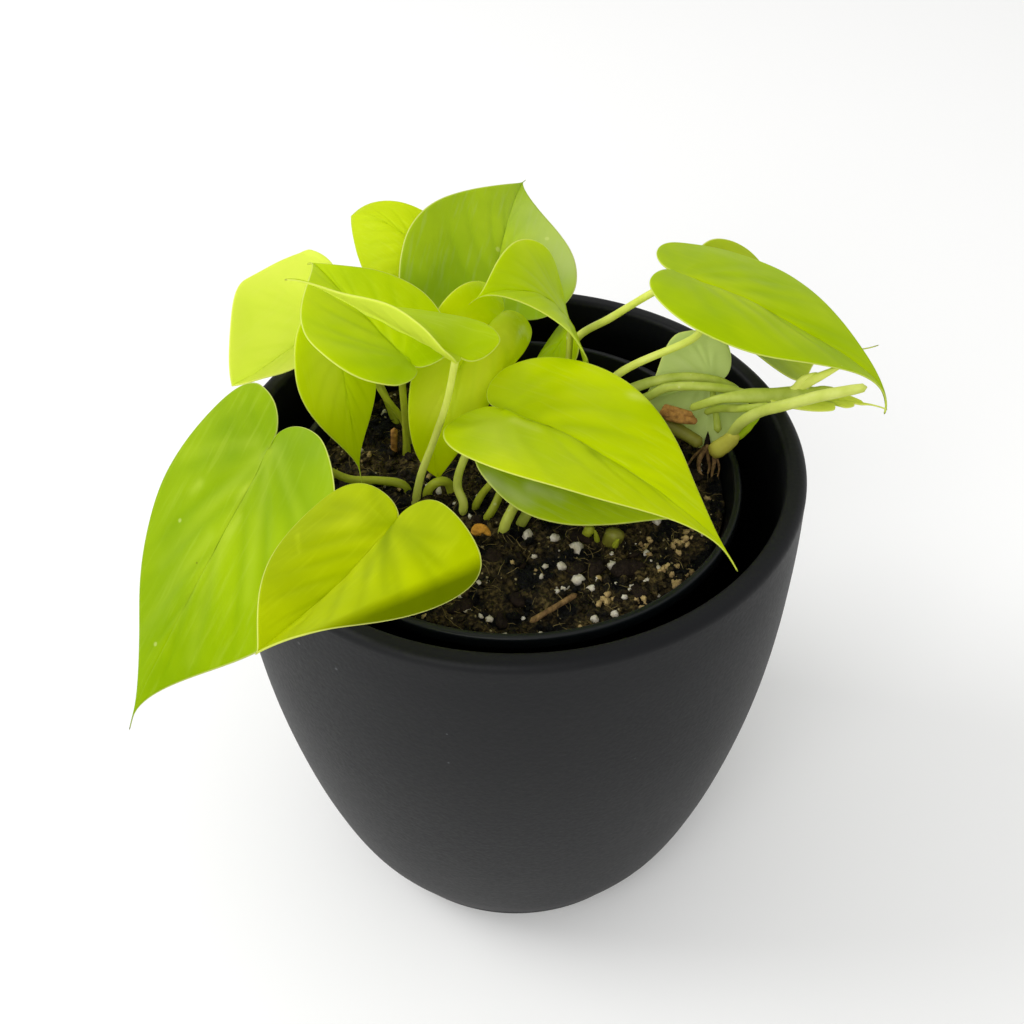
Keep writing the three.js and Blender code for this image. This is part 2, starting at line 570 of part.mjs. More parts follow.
addPiece('soil', soil(), new THREE.MeshStandardMaterial({ color: 0x1b1714, roughness: 1 }));
addPiece('nursery_pot', nurseryPot(), new THREE.MeshStandardMaterial({ color: 0x11140f, roughness: 0.5 }));
addPiece('outer_pot', outerPot(), new THREE.MeshStandardMaterial({ color: 0x2d2e32, roughness: 0.75 }));

export default part;
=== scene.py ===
"""A potted heartleaf philodendron with bright yellow-green leaves, in a matt charcoal pot.

Metres, +Z up, the origin under the middle of the outer pot, the front at -Y. The tables of blades
and stalks are in millimetres and degrees.
Every visible surface is worked out with numpy on a grid of two parameters.
"""

import bpy
import numpy as np
from mathutils import Matrix


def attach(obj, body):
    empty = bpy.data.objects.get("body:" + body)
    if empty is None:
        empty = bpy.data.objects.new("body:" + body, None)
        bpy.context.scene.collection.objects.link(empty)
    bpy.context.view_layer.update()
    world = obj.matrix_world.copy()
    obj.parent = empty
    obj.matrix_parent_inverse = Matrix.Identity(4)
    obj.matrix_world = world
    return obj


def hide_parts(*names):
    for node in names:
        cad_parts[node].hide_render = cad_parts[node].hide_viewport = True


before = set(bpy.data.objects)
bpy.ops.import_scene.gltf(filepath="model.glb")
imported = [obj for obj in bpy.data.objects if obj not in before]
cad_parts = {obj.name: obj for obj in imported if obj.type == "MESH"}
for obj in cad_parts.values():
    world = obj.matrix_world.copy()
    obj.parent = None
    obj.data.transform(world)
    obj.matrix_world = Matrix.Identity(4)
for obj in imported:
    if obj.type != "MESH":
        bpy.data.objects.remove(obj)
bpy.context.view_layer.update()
random = np.random.default_rng(20261125)

# Sizes

# Outer pot: outside radius and height, from the foot to the start of the lip
POT_HEIGHT = 0.1342
POT_FOOT_RADIUS = 0.0455
POT_OUTSIDE = [
    (0.0476, 0.004), (0.0538, 0.016), (0.0597, 0.034), (0.0644, 0.054),
    (0.0678, 0.074), (0.0698, 0.094), (0.0707, 0.118), (0.0706, 0.130),
]
POT_FOOT_ROUND = 0.0012
POT_LIP_OUTER_RADIUS = 0.0684
POT_LIP_OUTER_ROUND = 0.0022
POT_LIP_INNER_RADIUS = 0.067
POT_LIP_INNER_ROUND = 0.0014
POT_MOUTH_RADIUS = 0.0654
POT_WALL = 0.0052
POT_FLOOR = 0.008
POT_FLOOR_ROUND = 0.003
# Below the lip's top: where the inside starts to be painted dark, and where it is wholly so.
# The dark is painted shade of the deep gap between the pots
POT_DARK_FROM, POT_DARK_FULL = 0.004, 0.010
POT_SECTORS = 192

# Nursery pot inside it
GAP = 0.0003
NURSERY_TOP = 0.1269
NURSERY_RIM_RADIUS = 0.0558
NURSERY_RIM_WIDTH = 0.002
NURSERY_RIM_DEPTH = 0.0036
NURSERY_RIM_ROUND = 0.0008
NURSERY_LIP_ROUND = 0.0006
NURSERY_NECK_RADIUS = 0.0544
NURSERY_FOOT_RADIUS = 0.040
NURSERY_WALL = 0.0016
NURSERY_SECTORS = 160

# Soil
SOIL_TOP = 0.122
SOIL_EDGE_DROP = 0.0012
SOIL_BUMP = 0.0005
SOIL_WAVE = 0.005
SOIL_RIPPLE = 0.003
SOIL_SECTORS = 320
SOIL_RINGS = 110
SOIL_WALL_HEIGHTS = (0.118, 0.112)
CLOD_SIZE, CLOD_HEIGHT = 0.0065, 0.0016
LUMP_SIZE, LUMP_HEIGHT = 0.0028, 0.0011
CRUMB_SIZE, CRUMB_HEIGHT = 0.0012, 0.0003
CALM_EDGE = (0.0525, 0.047)

# Loose bits on the soil
CRUMBS, BARK_BITS, SMALL_PERLITE, SINGLE_GRIT, FIBRES = 1500, 90, 130, 90, 420
CLUMP_GRAINS, CLUMP_SPREAD = 10, 0.0011
GRAIN_ROWS, GRAIN_SIDES = 4, 8
LOOSE_REACH = 0.0505
FIBRE_STEPS, FIBRE_SIDES = 9, 4
FIBRE_REACH = 0.0515

# Blade outline and section
BLADE_THICKNESS = 0.0005
SINUS_SET_BACK = 0.03
SINUS_HANDLE = (0.65, 0.06)
LOBE_HANDLE = 0.45
ROUND = 0.55
FLANK_HANDLE = 0.42
TIP_HANDLE = 0.04
DROOP_START = 0.7
OUTLINE_STEPS = (18, 26, 44)
BLADE_RINGS = 44
MARGIN_RINGS = (0.958, 0.979, 0.992, 1.0)
MARGIN_ROUND = 0.0007
CREASE = 0.0012
FLAP_ROUND = 0.003
LEAST_CURL = 0.001
MIDRIB_REACH = (-0.9, 1.02)
MIDRIB_TABLE = 400

# Side veins: where each leaves the midrib, where it ends, and how far out that is,
# as shares of the blade's length and half width
VEINS = [
    (0.00, -0.12, 0.62), (0.00, 0.06, 0.94), (0.01, 0.30, 0.98), (0.07, 0.50, 0.82),
    (0.19, 0.66, 0.60), (0.34, 0.79, 0.38), (0.52, 0.90, 0.20),
]
VEIN_RISE = 1.6
VEIN_WIDTH = 0.042
VEIN_DEPTH = 0.00016
VEIN_RIDGE = 0.0001
VEIN_END = (0.7, 1.08)
# How much a vein's reach, start and end stray
VEIN_STRAY = (0.06, 0.010, 0.03)
GROOVE_DEPTH = 0.00022
GROOVE_WIDTH = 0.0012
GROOVE_END = (0.55, 1.0)
RIB_HEIGHT = 0.0006
RIB_WIDTH = 0.0009
RIB_END = (0.3, 0.95)
PUCKER = 0.0005
PUCKER_SIZE = 0.013
FINE_PUCKER, FINE_PUCKER_SIZE = 0.3, 0.0052
# The relief starts at the base over this share of the rings, and ends at the margin by this power
RELIEF_START, RELIEF_END = 0.12, 6
# Waves of the margin: their height, how fast they come, where on the rings they start, and how
# far from the midrib they are clear of it
RIPPLE = 0.0005
RIPPLE_RATE = 0.1
RIPPLE_START = 0.65
RIPPLE_CLEAR = (0.006, 0.016)
PUCKER_SEED, FINE_PUCKER_SEED, RIPPLE_SEED = 20, 50, 80

# Stalks
STALK_SIDES = 24
STALK_STEP = 0.0008
STRAND_SIDES = 12
STRAND_STEPS = 26
STALK_LEAST_STEPS = 12
CHANNEL = 0.12
CHANNEL_WIDTH = 0.45
FOOT_SWELL, FOOT_LENGTH, WAIST = 0.12, 0.12, 0.05
NECK_SHRINK, NECK_SWELL, NECK_PLACE, NECK_LENGTH = 0.24, 0.12, 0.97, 0.03
KNOBBLE, KNOBBLE_RATE = 0.02, 23
END_ROUND, END_FLAT = 0.9, 0.15
# Direction that the flat side of an oval stalk faces
FACING = (0.0, -0.7, 0.7)
# How far some stalks widen along their length, as (share, factor) pairs, and how wide and how
# thick their section is beside a round one
SHAPES = {
    "stalk_right_upper": ([(0, 1), (0.84, 0.95), (0.94, 0.75), (1, 0.35)], 1.15, 0.8),
    "stalk_right_middle": ([(0, 1), (0.6, 0.95), (0.9, 0.95), (1, 0.6)], 1.05, 0.8),
    "petiole_right_far": (
        [(0, 0.7), (0.25, 0.85), (0.45, 1.3), (0.75, 1.4), (0.92, 1.1), (1, 0.2)], 1.15, 0.6),
    "stalk_right_cut": ([(0, 0.8), (0.1, 1), (0.75, 1.0), (0.93, 0.92), (1, 0.7)], 1.08, 0.85),
    "stalk_right_low": ([(0, 0.8), (0.5, 0.95), (1, 0.7)], 1.0, 0.8),
    "sheath_right": ([(0, 0.6), (0.3, 1.0), (0.6, 0.85), (1, 0.15)], 1.1, 0.6),
    "vine_right": ([(0, 0.9), (0.5, 1.0), (1, 0.9)], 1.05, 0.95),
    "node_right": ([(0, 0.75), (0.25, 0.98), (0.7, 0.85), (1, 0.55)], 1.1, 0.9),
    "vine_base_front": ([(0, 1.2), (0.5, 0.85), (1, 0.8)], 1.15, 0.85),
    "chip_front": ([(0, 0.6), (0.35, 1.3), (1, 0.4)], 1.5, 0.4),
    "bark_front": ([(0, 0.8), (0.4, 1.9), (0.7, 1.4), (1, 0.6)], 1.3, 0.7),
}
# Stalks that end in a cut, with how much of the usual rounding their ends have
CUT_ENDS = {"vine_base_front": 0.25, "stalk_right_cut": 0.4, "node_right": 0.5}
# Tears in a margin: which side, at what share of the length, how deep, and how wide
TEARS = {"leaf_right_far": [(-1, 0.55, 0.45, 0.035), (-1, 0.72, 0.3, 0.03), (1, 0.82, 0.4, 0.04)]}
# How far a tear pulls the margin in, along and across
TEAR_PULL = (0.15, 1.0)

# Camera and studio
SENSOR_WIDTH = 36
FRAME_PIXELS = 1024
FOCAL_PIXELS = 1400
CAMERA_PLACE = (0, -0.261646, 0.353821)
CAMERA_RIGHT = np.array([0.99999, -0.00057, -0.00401])
CAMERA_FORWARD = np.array([-0.00229, 0.73621, -0.67675])
PLANT_MIDDLE = np.array([0, 0, 0.12])
FLOOR_REACH = 3
SKY_STRENGTH = 0.75

# Light (above 0) and dark (below 0) marks of a blade: from x, y to x, y on the flat blade and
# width, in millimetres, and tone. Some are the blade's own vein colour and droplet marks, and some
# are painted highlights, painted sheen and painted light on parts that lie in shade.
MARKS_AND_PAINTED_LIGHT = {
    # leaf_front: the light marks are painted highlights and painted light; the dark ones follow the midrib
    # and veins
    "leaf_front": [
        (-4.1, 1.3, 26.1, -2, 2.2, -0.7), (26.1, -2, 45, -1.5, 1.8, -0.55),
        (21.5, 22.8, 24, 23.8, 1.3, 0.9), (4, -3, 12, -4, 1.4, 0.6), (2, -9, 12, -16, 5, 0.35),
        (4, 4, 16, 14, 2.5, -0.3), (16, 4, 32, 10, 2.5, -0.3)],
    # leaf_front_left: the broad light mark from (5, -8.5) is a painted highlight
    "leaf_front_left": [
        (0, 0, 14.5, 14.9, 1.2, -0.95), (0.3, -2, 15.3, -16.4, 1.5, -0.5), (1, 1, 12.4, 7.5, 1.2, -0.5),
        (1.5, 0, 24.9, 2.2, 1.8, 0.6), (-0.4, 6.1, 2.1, 17.9, 1.4, -0.45), (5, -8.5, 8.5, -10.5, 3.5, 0.6),
        (12, -17.5, 15.5, -12.5, 0.4, 0.7)],
    "leaf_left_large": [
        (15.5, -15, 18, -16, 1.2, 0.7), (10, -1.4, 12.5, -2.2, 1.2, 0.6), (16.5, 3, 21, 3, 1, 0.6),
        (-1, 0, 45, 0, 2, 0.5), (0, 3, 30, 16, 1.6, 0.35), (2, -3, 36, -14, 1.8, 0.35),
        (20, 2, 50, 9, 1.6, 0.35), (24, -4, 56, -10, 1.8, 0.35), (-2, 4, 8, 22, 1.6, 0.3),
        (0, -6, 12, -24, 2, 0.3)],
    "leaf_right_large": [
        (0, 0, 50, 0, 1.4, 0.5), (4, 2, 30, 13, 1.4, 0.4), (12, 2, 44, 10, 1.4, 0.4),
        (4, -2, 30, -12, 1.4, 0.4), (12, -2, 42, -9, 1.4, 0.4), (8, 6, 36, 6, 2.5, -0.35)],
    # leaf_back_large: a painted greyish sheen, the sky's reflection on its right half
    "leaf_back_large": [(18, -20, 36, -8, 8, 0.9)],
    # leaf_hanging: painted light, which brightens a part that lies in shade
    "leaf_hanging": [(2, -5, 10, -5, 4.5, 0.7)],
    # leaf_under_front: painted whitish highlights at its left
    "leaf_under_front": [(-2, -14.5, 7.5, -14, 2.4, 1), (7, -9.5, 14, -8.5, 1.8, 0.8)],
    # leaf_centre_curled: the last two light marks are painted highlights
    "leaf_centre_curled": [
        (4, 0, 18, 0, 1.6, -0.4), (6, 6, 30, 7, 3, 0.7), (10, -6, 30, -7, 2.5, 0.6), (30, -2, 20, 1, 4, 1),
        (1, 6, -9, 4, 4.5, 1)],
    "leaf_right_underside": [
        (0, 0, 20, 0, 0.8, 0.7), (0, 2, 12, 12, 0.8, 0.5), (0, -2, 12, -12, 0.8, 0.5),
        (4, 1, 17, 8, 0.8, 0.5)],
}


def metres(millimetres):
    """Millimetres as metres."""
    return np.round(np.asarray(millimetres, float) / 1000, 9)


def blade(base, aim, length, half, lobe, outline, bends, folds, curl, tip=TIP_HANDLE, flap=None,
          pucker=1.0, slot="leaf_bright"):
    """A blade's measures as named values, with millimetres made metres.

    aim is the heading, pitch and roll of the midrib at the base. half is how wide each half is and
    lobe how far each lobe reaches back, left and then right. outline is where the blade is widest,
    how far its drawn-out tip goes back, and where the lobe ends across, as shares. bends is how far
    the midrib bends, droops and sweeps and the blade twists, folds the rise of each half and how
    far both close, curl that of each half, and flap two points of a line, an angle and a share.
    """
    names = ("heading", "pitch", "roll", "widest", "drip", "shoulder", "bend", "droop", "sweep", "twist")
    leaf = dict(zip(names, (*aim, *outline, *bends)))
    for name, value in {"base": base, "length": length, "half": half, "lobe": lobe}.items():
        leaf[name] = metres(value)
    if flap:
        flap = (metres(flap[0]), metres(flap[1]), np.radians(flap[2]), flap[3])
    leaf.update(fold=folds[:2], close=folds[2], curl=curl, tip=tip, flap=flap, pucker=pucker, slot=slot)
    return leaf


BLADES = {
    "leaf_front": blade(
        (-2.2, -3.6, 149.1), (-37, 9, 6), 68.9, (26.5, 23.1), (10.6, 8.7), (0.18, 0.26, 0.49),
        (37, 28, -2, -14), (1, 9, 0), (-10, 2)),
    "leaf_under_front": blade(
        (0.8, -5.4, 136.3), (-26, -15, 0), 47.2, (21.5, 17.3), (12.5, 8.3), (0.18, 0.29, 0.5),
        (-19, -8, 4, 10), (7, 11, -6), (1, -9)),
    "leaf_front_left": blade(
        (-24.6, -56.8, 162), (-135, -25, 4), 40.1, (29.1, 22.4), (9.8, 4.3), (0.07, 0, 0.39),
        (-38, -1, 14, -5), (25, 10, 16), (-53, -40), flap=((30.9, 9.2), (-5.3, 23.6), 40, 0.7)),
    "leaf_left_large": blade(
        (-55.7, -20.6, 151.1), (-134, -46, 3), 73.5, (33, 27.3), (10.3, 11.5), (0.23, 0.26, 0.48),
        (-2, 23, 2, -18), (11, -2, -12), (-9, -2), slot="leaf_deep"),
    "leaf_young_folded": blade(
        (-12.9, -9.2, 168.9), (159, 19, 9), 42.8, (18.3, 17.5), (1.7, 6.5), (0.19, 0.34, 0.59),
        (0, 35, 4, 41), (15, 12, -11), (43, -17)),
    "leaf_centre_left": blade(
        (-24.6, 1.8, 159.6), (129, 10, -3), 51.2, (18.9, 15.5), (6.9, 5.2), (0.23, 0.25, 0.49),
        (13, 40, -10, -13), (21, 20, 1), (-15, -18)),
    "leaf_hanging": blade(
        (-41.8, 12.9, 155.6), (-81, -46, -15), 34, (9.6, 13.4), (7.2, 8.6), (0.2, 0.28, 0.5),
        (23, 3, 11, -7), (2, 5, -4), (-13, -8)),
    "leaf_back_large": blade(
        (-6.8, 41.9, 145), (82, 27, 5), 52.8, (26.9, 22.9), (12.6, 1.2), (0.22, 0.25, 0.51),
        (24, 27, -7, 17), (15, 6, 6), (3, 4), pucker=1.2, slot="leaf_deep"),
    "leaf_centre_folded": blade(
        (14.9, 29.4, 149.3), (-156, 67, -22), 37.9, (15.9, 22.3), (7.1, 1.9), (0.21, 0.24, 0.49),
        (70, 23, 12, -2), (8, -17, 15), (5, 28), pucker=1.4),
    "leaf_centre_small": blade(
        (12.5, 36.7, 139.9), (-134, -38, 18), 19.1, (8.9, 9.3), (2.5, 6.1), (0.22, 0.26, 0.48),
        (-8, 17, -1, -3), (7, -1, -6), (-33, -32)),
    "leaf_centre_curled": blade(
        (-4.6, 26.9, 154.3), (-116, 9, -24), 52, (15.6, 13.3), (11.9, 8.6), (0.18, 0.1, 0.51),
        (112, 20, -13, 0), (15, 18, 4), (-108, -8), tip=0.3, pucker=2.0),
    "leaf_back_left": blade(
        (-50, 41, 144.5), (-131, -23, -11), 30.1, (17.8, 23.3), (9.5, 17.3), (0.2, 0.01, 0.7),
        (-14, 1, -19, -13), (26, 17, 27), (6, -18), tip=0.4, slot="leaf_pale"),
    "leaf_back_small": blade(
        (-22.6, 53, 155.5), (147, 39, -17), 28.8, (16.8, 10.2), (7.5, 6.5), (0.24, 0.02, 0.5),
        (66, 16, -8, -10), (-5, 7, -11), (-31, -15), tip=0.45, slot="leaf_pale"),
    "leaf_right_large": blade(
        (40.3, 25.7, 167.5), (-22, -9, -10), 64.3, (25.1, 23.3), (8.8, 5.4), (0.2, 0.27, 0.44),
        (26, 65, 2, 8), (7, 11, 4), (-18, -32)),
    "leaf_right_under": blade(
        (51.3, 35.3, 149.6), (17, -31, 19), 52.7, (24.4, 22.7), (8.9, 7.8), (0.24, 0.54, 0.49),
        (-13, -39, -7, -7), (19, 25, -32), (0.5, -1)),
    "leaf_right_underside": blade(
        (50.1, 21.6, 137.7), (191, -10, 124), 21.7, (15.6, 17.2), (6.3, 7.3), (0.23, 0.36, 0.52),
        (-5, 12, 0, -1), (-6, -4, 0), (14, -28), slot="leaf_underside"),
    "leaf_right_far": blade(
        (63.2, 5.5, 146.1), (-6, 2, 0), 27.1, (5.7, 6.5), (1.8, 1.9), (0.28, 0.26, 0.48), (14, 15, 4, 10),
        (4, 6, 4), (-30, -13), pucker=0.3, slot="leaf_pale"),
}

# Stalks: radius, the blade that it carries, its look, and its route from the foot up
STALKS = {
    "petiole_front": (1.2, "leaf_front", "pale", [
        (-13.8, -9, 117.5), (-12.6, -8.6, 124), (-14, -6.8, 128), (-12.7, -6.5, 135), (-8.8, -4.4, 142)]),
    "petiole_under_front": (1.1, "leaf_under_front", "olive", [(-11.1, -6.4, 117.5), (-7.6, -7.6, 127)]),
    "petiole_front_left": (1.2, "leaf_front_left", "pale", [
        (-19, -32, 117.5), (-20, -34, 130), (-23, -41, 146)]),
    "petiole_left_large": (1.2, "leaf_left_large", "olive", [
        (-26, -1.4, 117.5), (-28, -1, 123.6), (-33.6, -0.5, 124.6), (-41, -0.2, 124.8), (-45.5, -0.8, 128),
        (-50.5, -5, 136)]),
    "petiole_young": (1.1, "leaf_young_folded", "pale", [
        (-25.3, -5.7, 117.5), (-23.1, -5.9, 130), (-19.2, -5.9, 142), (-15.5, -8.5, 156)]),
    "petiole_centre_left": (1.1, "leaf_centre_left", "olive", [
        (-27.9, 13, 117.5), (-27.5, 13.4, 130), (-27.3, 10.4, 140), (-27.3, 9.9, 146), (-26.6, 7.4, 151.5)]),
    "petiole_hanging": (1, "leaf_hanging", "olive", [
        (-27.3, 17.4, 117.5), (-28, 17, 128), (-32.5, 12.6, 141.5), (-37.5, 17, 149)]),
    "petiole_back_large": (1.2, "leaf_back_large", "pale", [(-3, 30, 117.5), (-4, 33, 130)]),
    "petiole_centre_folded": (1.1, "leaf_centre_folded", "olive", [
        (-9.6, -12.6, 117.5), (-5.5, -11.9, 125), (-1.2, -4.2, 130), (7, 8, 132), (13, 21, 142)]),
    "petiole_centre_small": (0.9, "leaf_centre_small", "pale", [(9, 30, 117.5), (11, 33, 132)]),
    "petiole_centre_curled": (1.2, "leaf_centre_curled", "pale", [
        (-10, 25, 117.5), (-9, 27, 135), (-7, 29.5, 144)]),
    "petiole_back_left": (1.1, "leaf_back_left", "olive", [
        (-30, 25, 117.5), (-36, 31, 132), (-46, 40, 143)]),
    "petiole_back_small": (1, "leaf_back_small", "pale", [(-15, 40, 117.5), (-16.5, 44, 135)]),
    "petiole_right_large": (1.2, "leaf_right_large", "pale", [
        (12, 40, 117.5), (13, 40, 130), (16.5, 37.7, 140.5), (24.2, 32.5, 150), (32, 27, 160)]),
    "petiole_right_under": (1.25, "leaf_right_under", "pale", [
        (-3.5, -15.2, 117.5), (-2.2, -16.3, 125), (4.8, -4.2, 130), (16.2, 10.7, 134.5), (25.5, 18, 143),
        (44.8, 21.6, 152.2), (47.4, 29, 152.4)]),
    "petiole_right_underside": (1, "leaf_right_underside", "green", [
        (50.7, 9.1, 131.5), (50.3, 12.1, 134.5), (49.6, 15.6, 137.5)]),
    "petiole_right_far": (1.2, None, "green", [
        (43, 8.9, 139.5), (45.2, 7.7, 141.5), (49.6, 6.2, 144.5), (55.1, 5.7, 145.8), (62.5, 4.4, 147),
        (70.5, 2.2, 149), (76, 1.8, 151)]),
    "vine_arch": (1.2, None, "olive", [
        (-21.6, -3.4, 117.5), (-21.4, -3.4, 124), (-19, -3.2, 126.4), (-16.8, -2, 125.2),
        (-15.4, -0.6, 117.5)]),
    "vine_stub_front": (1.3, None, "olive", [(16, -16, 118), (17.9, -20, 126.5)]),
    "vine_base_front": (2.5, None, "brown", [(22.4, -19.5, 118), (23.8, -21.1, 126.5)]),
    "vine_right": (1.7, None, "brown", [
        (36, 3, 117.5), (36.5, 6, 125), (37.5, 10.5, 133), (42.4, 8.8, 131.5), (46.6, 6.3, 130)]),
    "stalk_right_cut": (1.25, None, "light", [
        (52.9, 5.5, 133), (54.8, 1.7, 141), (58.3, -2.3, 147.5), (62.5, -6.4, 152.5), (69.6, -8.8, 157),
        (79.5, -10.1, 160.5)]),
    "stalk_right_upper": (1.15, None, "green", [
        (0.2, -12, 117.5), (3, -13, 125), (12, 2, 128.5), (21.5, 17.1, 134.5), (29.6, 17.2, 139.5),
        (36.2, 17.2, 142), (43.5, 16.6, 143.3), (50.9, 16, 142.5), (55.6, 15.7, 140.5)]),
    "stalk_right_middle": (1.15, None, "green", [
        (22, 3, 117.5), (24.5, 10, 127), (25.2, 15.3, 134), (33, 14.8, 138.5), (37.2, 14.5, 141.5),
        (42.8, 12.3, 143.8), (50.4, 10.8, 144.3), (56.9, 9.7, 143.6)]),
    "stalk_right_low": (1.1, None, "green", [
        (47.1, 11.5, 136), (49.6, 9.9, 138.5), (55.5, 3.9, 143.5), (60.6, 0.4, 147.2)]),
    "sheath_right": (1.3, None, "fresh", [
        (53.1, 5.6, 131.5), (55, 4.4, 135), (56.9, 3.2, 138.5), (59.1, 2.3, 142)]),
    "node_right": (2.1, None, "yellow", [
        (48.5, 5.4, 127.9), (50.8, 5.2, 129.9), (53, 4.8, 132.6), (54.1, 3.6, 136.2)]),
    "sheath_left": (0.9, None, "sheath", [(-31.2, 13.4, 117.5), (-31, 13.6, 123), (-30.6, 14, 129.5)]),
    "root_right": (0.8, None, "twig", [(48.2, 14.4, 117.5), (47.5, 8.9, 125.5)]),
    "chip_front": (0.8, None, "flake", [(-10.6, -18.6, 123.6), (-7.7, -19.7, 126), (-5.8, -20.4, 124.4)]),
    "bark_front": (1, None, "bark", [(22.1, -31.3, 123.2), (30.5, -29.3, 123)]),
    "twig_front": (0.7, None, "twig", [(3.2, -47, 122.9), (14.1, -38.7, 123.4)]),
}

# Surfaces

LATTICE = 64
LATTICE_SHIFT = (31.7, 17.3)
SPAN_STEPS = 64


def unit(vectors):
    """Vectors divided by their lengths."""
    return vectors / np.maximum(np.linalg.norm(vectors, axis=-1, keepdims=True), 1e-12)


def smoothstep(low, high, value):
    """0 below low, 1 above high, and 3t^2 - 2t^3 between them."""
    t = np.clip((value - low) / (high - low), 0, 1)
    return t * t * (3 - 2 * t)


def swell(offset, width):
    """1 at no offset, and e to minus (offset / width) squared away from it."""
    return np.exp(-(offset / width) ** 2)


def round_angles(count):
    """Angles that go evenly once round."""
    return np.linspace(0, 2 * np.pi, count, endpoint=False)


def between(at, known, points):
    """The place on a line of points at each value, straight between the known values."""
    return np.stack([np.interp(at, known, points[:, k]) for k in range(3)], -1)


def value_noise(x, y, size, seed):
    """Smooth noise from -1 to 1: random numbers on a square lattice, eased between."""
    lattice = np.random.default_rng(seed).uniform(-1, 1, (LATTICE, LATTICE))
    u, v = x / size + LATTICE_SHIFT[0], y / size + LATTICE_SHIFT[1]
    i, j = np.floor(u).astype(int), np.floor(v).astype(int)
    s, t = smoothstep(0, 1, u - i), smoothstep(0, 1, v - j)
    near, right, far, last = (
        lattice[(i + a) % LATTICE, (j + b) % LATTICE] for a, b in ((0, 0), (1, 0), (0, 1), (1, 1)))
    return (near * (1 - s) + right * s) * (1 - t) + (far * (1 - s) + last * s) * t


def add_object(name, data):
    """An object at the origin, in the scene."""
    made = bpy.data.objects.new(name, data)
    bpy.context.scene.collection.objects.link(made)
    return made


def make_piece(name, vertices, faces, material, slot, node=None, values=None):
    """A smooth shaded mesh object at the origin that rides on the root body."""
    mesh = bpy.data.meshes.new(name)
    mesh.from_pydata(vertices.tolist(), [], faces)
    mesh.update()
    mesh.shade_smooth()
    for title, numbers in (values or {}).items():
        attribute = mesh.attributes.new(title, "FLOAT", "POINT")
        attribute.data.foreach_set("value", np.asarray(numbers, np.float32).ravel())
    mesh.materials.append(material)
    piece = add_object(name, mesh)
    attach(piece, "root")
    if node:
        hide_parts(node)
    return piece


def shell(rows, first, last):
    """A closed surface: rows of points that each go once round, shut by a pole at both ends.

    Face (i, j) joins columns j and j + 1 of rows i and i + 1, and the poles are fans. The faces
    are turned round where the volume that they enclose comes out below 0.
    """
    count, around = rows.shape[:2]
    vertices = np.concatenate([rows.reshape(-1, 3), [first, last]])
    ring = np.arange(around)
    after = (ring + 1) % around
    base = around * np.arange(count - 1)[:, None]
    quads = np.stack([base + ring, base + after, base + around + after, base + around + ring], -1)
    quads = quads.reshape(-1, 4)
    pole, end = np.full(around, count * around), (count - 1) * around
    fans = [np.stack([pole, after, ring], -1), np.stack([pole + 1, end + ring, end + after], -1)]
    corners = vertices[quads]
    normals = [np.cross(corners[:, k], corners[:, k + 1]) for k in (1, 2)]
    volume = sum(np.einsum("ij,ij->i", corners[:, 0], normal).sum() for normal in normals)
    faces = quads.tolist() + fans[0].tolist() + fans[1].tolist()
    return vertices, [face[::-1] for face in faces] if volume < 0 else faces


def bezier(corners, steps):
    """Points of a cubic curve through its four control points, without the first."""
    t = (np.arange(1, steps + 1) / steps)[:, None]
    a, b, c, d = np.asarray(corners, float)
    return a * (1 - t) ** 3 + 3 * b * (1 - t) ** 2 * t + 3 * c * (1 - t) * t ** 2 + d * t ** 3


def half_outline(leaf, side):
    """Half of the flat outline, from the sinus round a lobe to the tip, as three cubic curves."""
    length, half, lobe = leaf["length"], leaf["half"][side], leaf["lobe"][side]
    shoulder, widest = leaf["shoulder"] * half, leaf["widest"] * length
    start = (-SINUS_SET_BACK * length, 0)
    curves = [
        [start, (-SINUS_HANDLE[0] * lobe, SINUS_HANDLE[1] * half),
         (-lobe, LOBE_HANDLE * shoulder), (-lobe, shoulder)],
        [(-lobe, shoulder), (-lobe, shoulder + ROUND * (half - shoulder)),
         (widest - ROUND * (widest + lobe), half), (widest, half)],
        [(widest, half), (widest + FLANK_HANDLE * (length - widest), half),
         ((1 - leaf["drip"]) * length, leaf["tip"] * half), (length, 0)],
    ]
    parts = [bezier(corners, steps) for corners, steps in zip(curves, OUTLINE_STEPS)]
    return np.concatenate([[start], *parts])


def blade_frame(leaf, share):
    """The midrib's direction and the blade's left and upward directions at shares of its length.

    Pitch falls by bend along the blade and by droop times the square of the way past the droop's
    start. Heading gains sweep and roll gains twist.
    """
    past = np.clip((share - DROOP_START) / (1 - DROOP_START), 0, 2)
    pitch = np.radians(leaf["pitch"] - leaf["bend"] * share - leaf["droop"] * past ** 2)
    heading = np.radians(leaf["heading"] + leaf["sweep"] * share)
    roll = np.radians(leaf["roll"] + leaf["twist"] * share)[..., None]
    along = np.stack([np.cos(pitch) * np.cos(heading), np.cos(pitch) * np.sin(heading), np.sin(pitch)], -1)
    level = np.stack([-np.sin(heading), np.cos(heading), np.zeros_like(heading)], -1)
    left = level * np.cos(roll) + np.cross(along, level) * np.sin(roll)
    return along, left, np.cross(along, left)


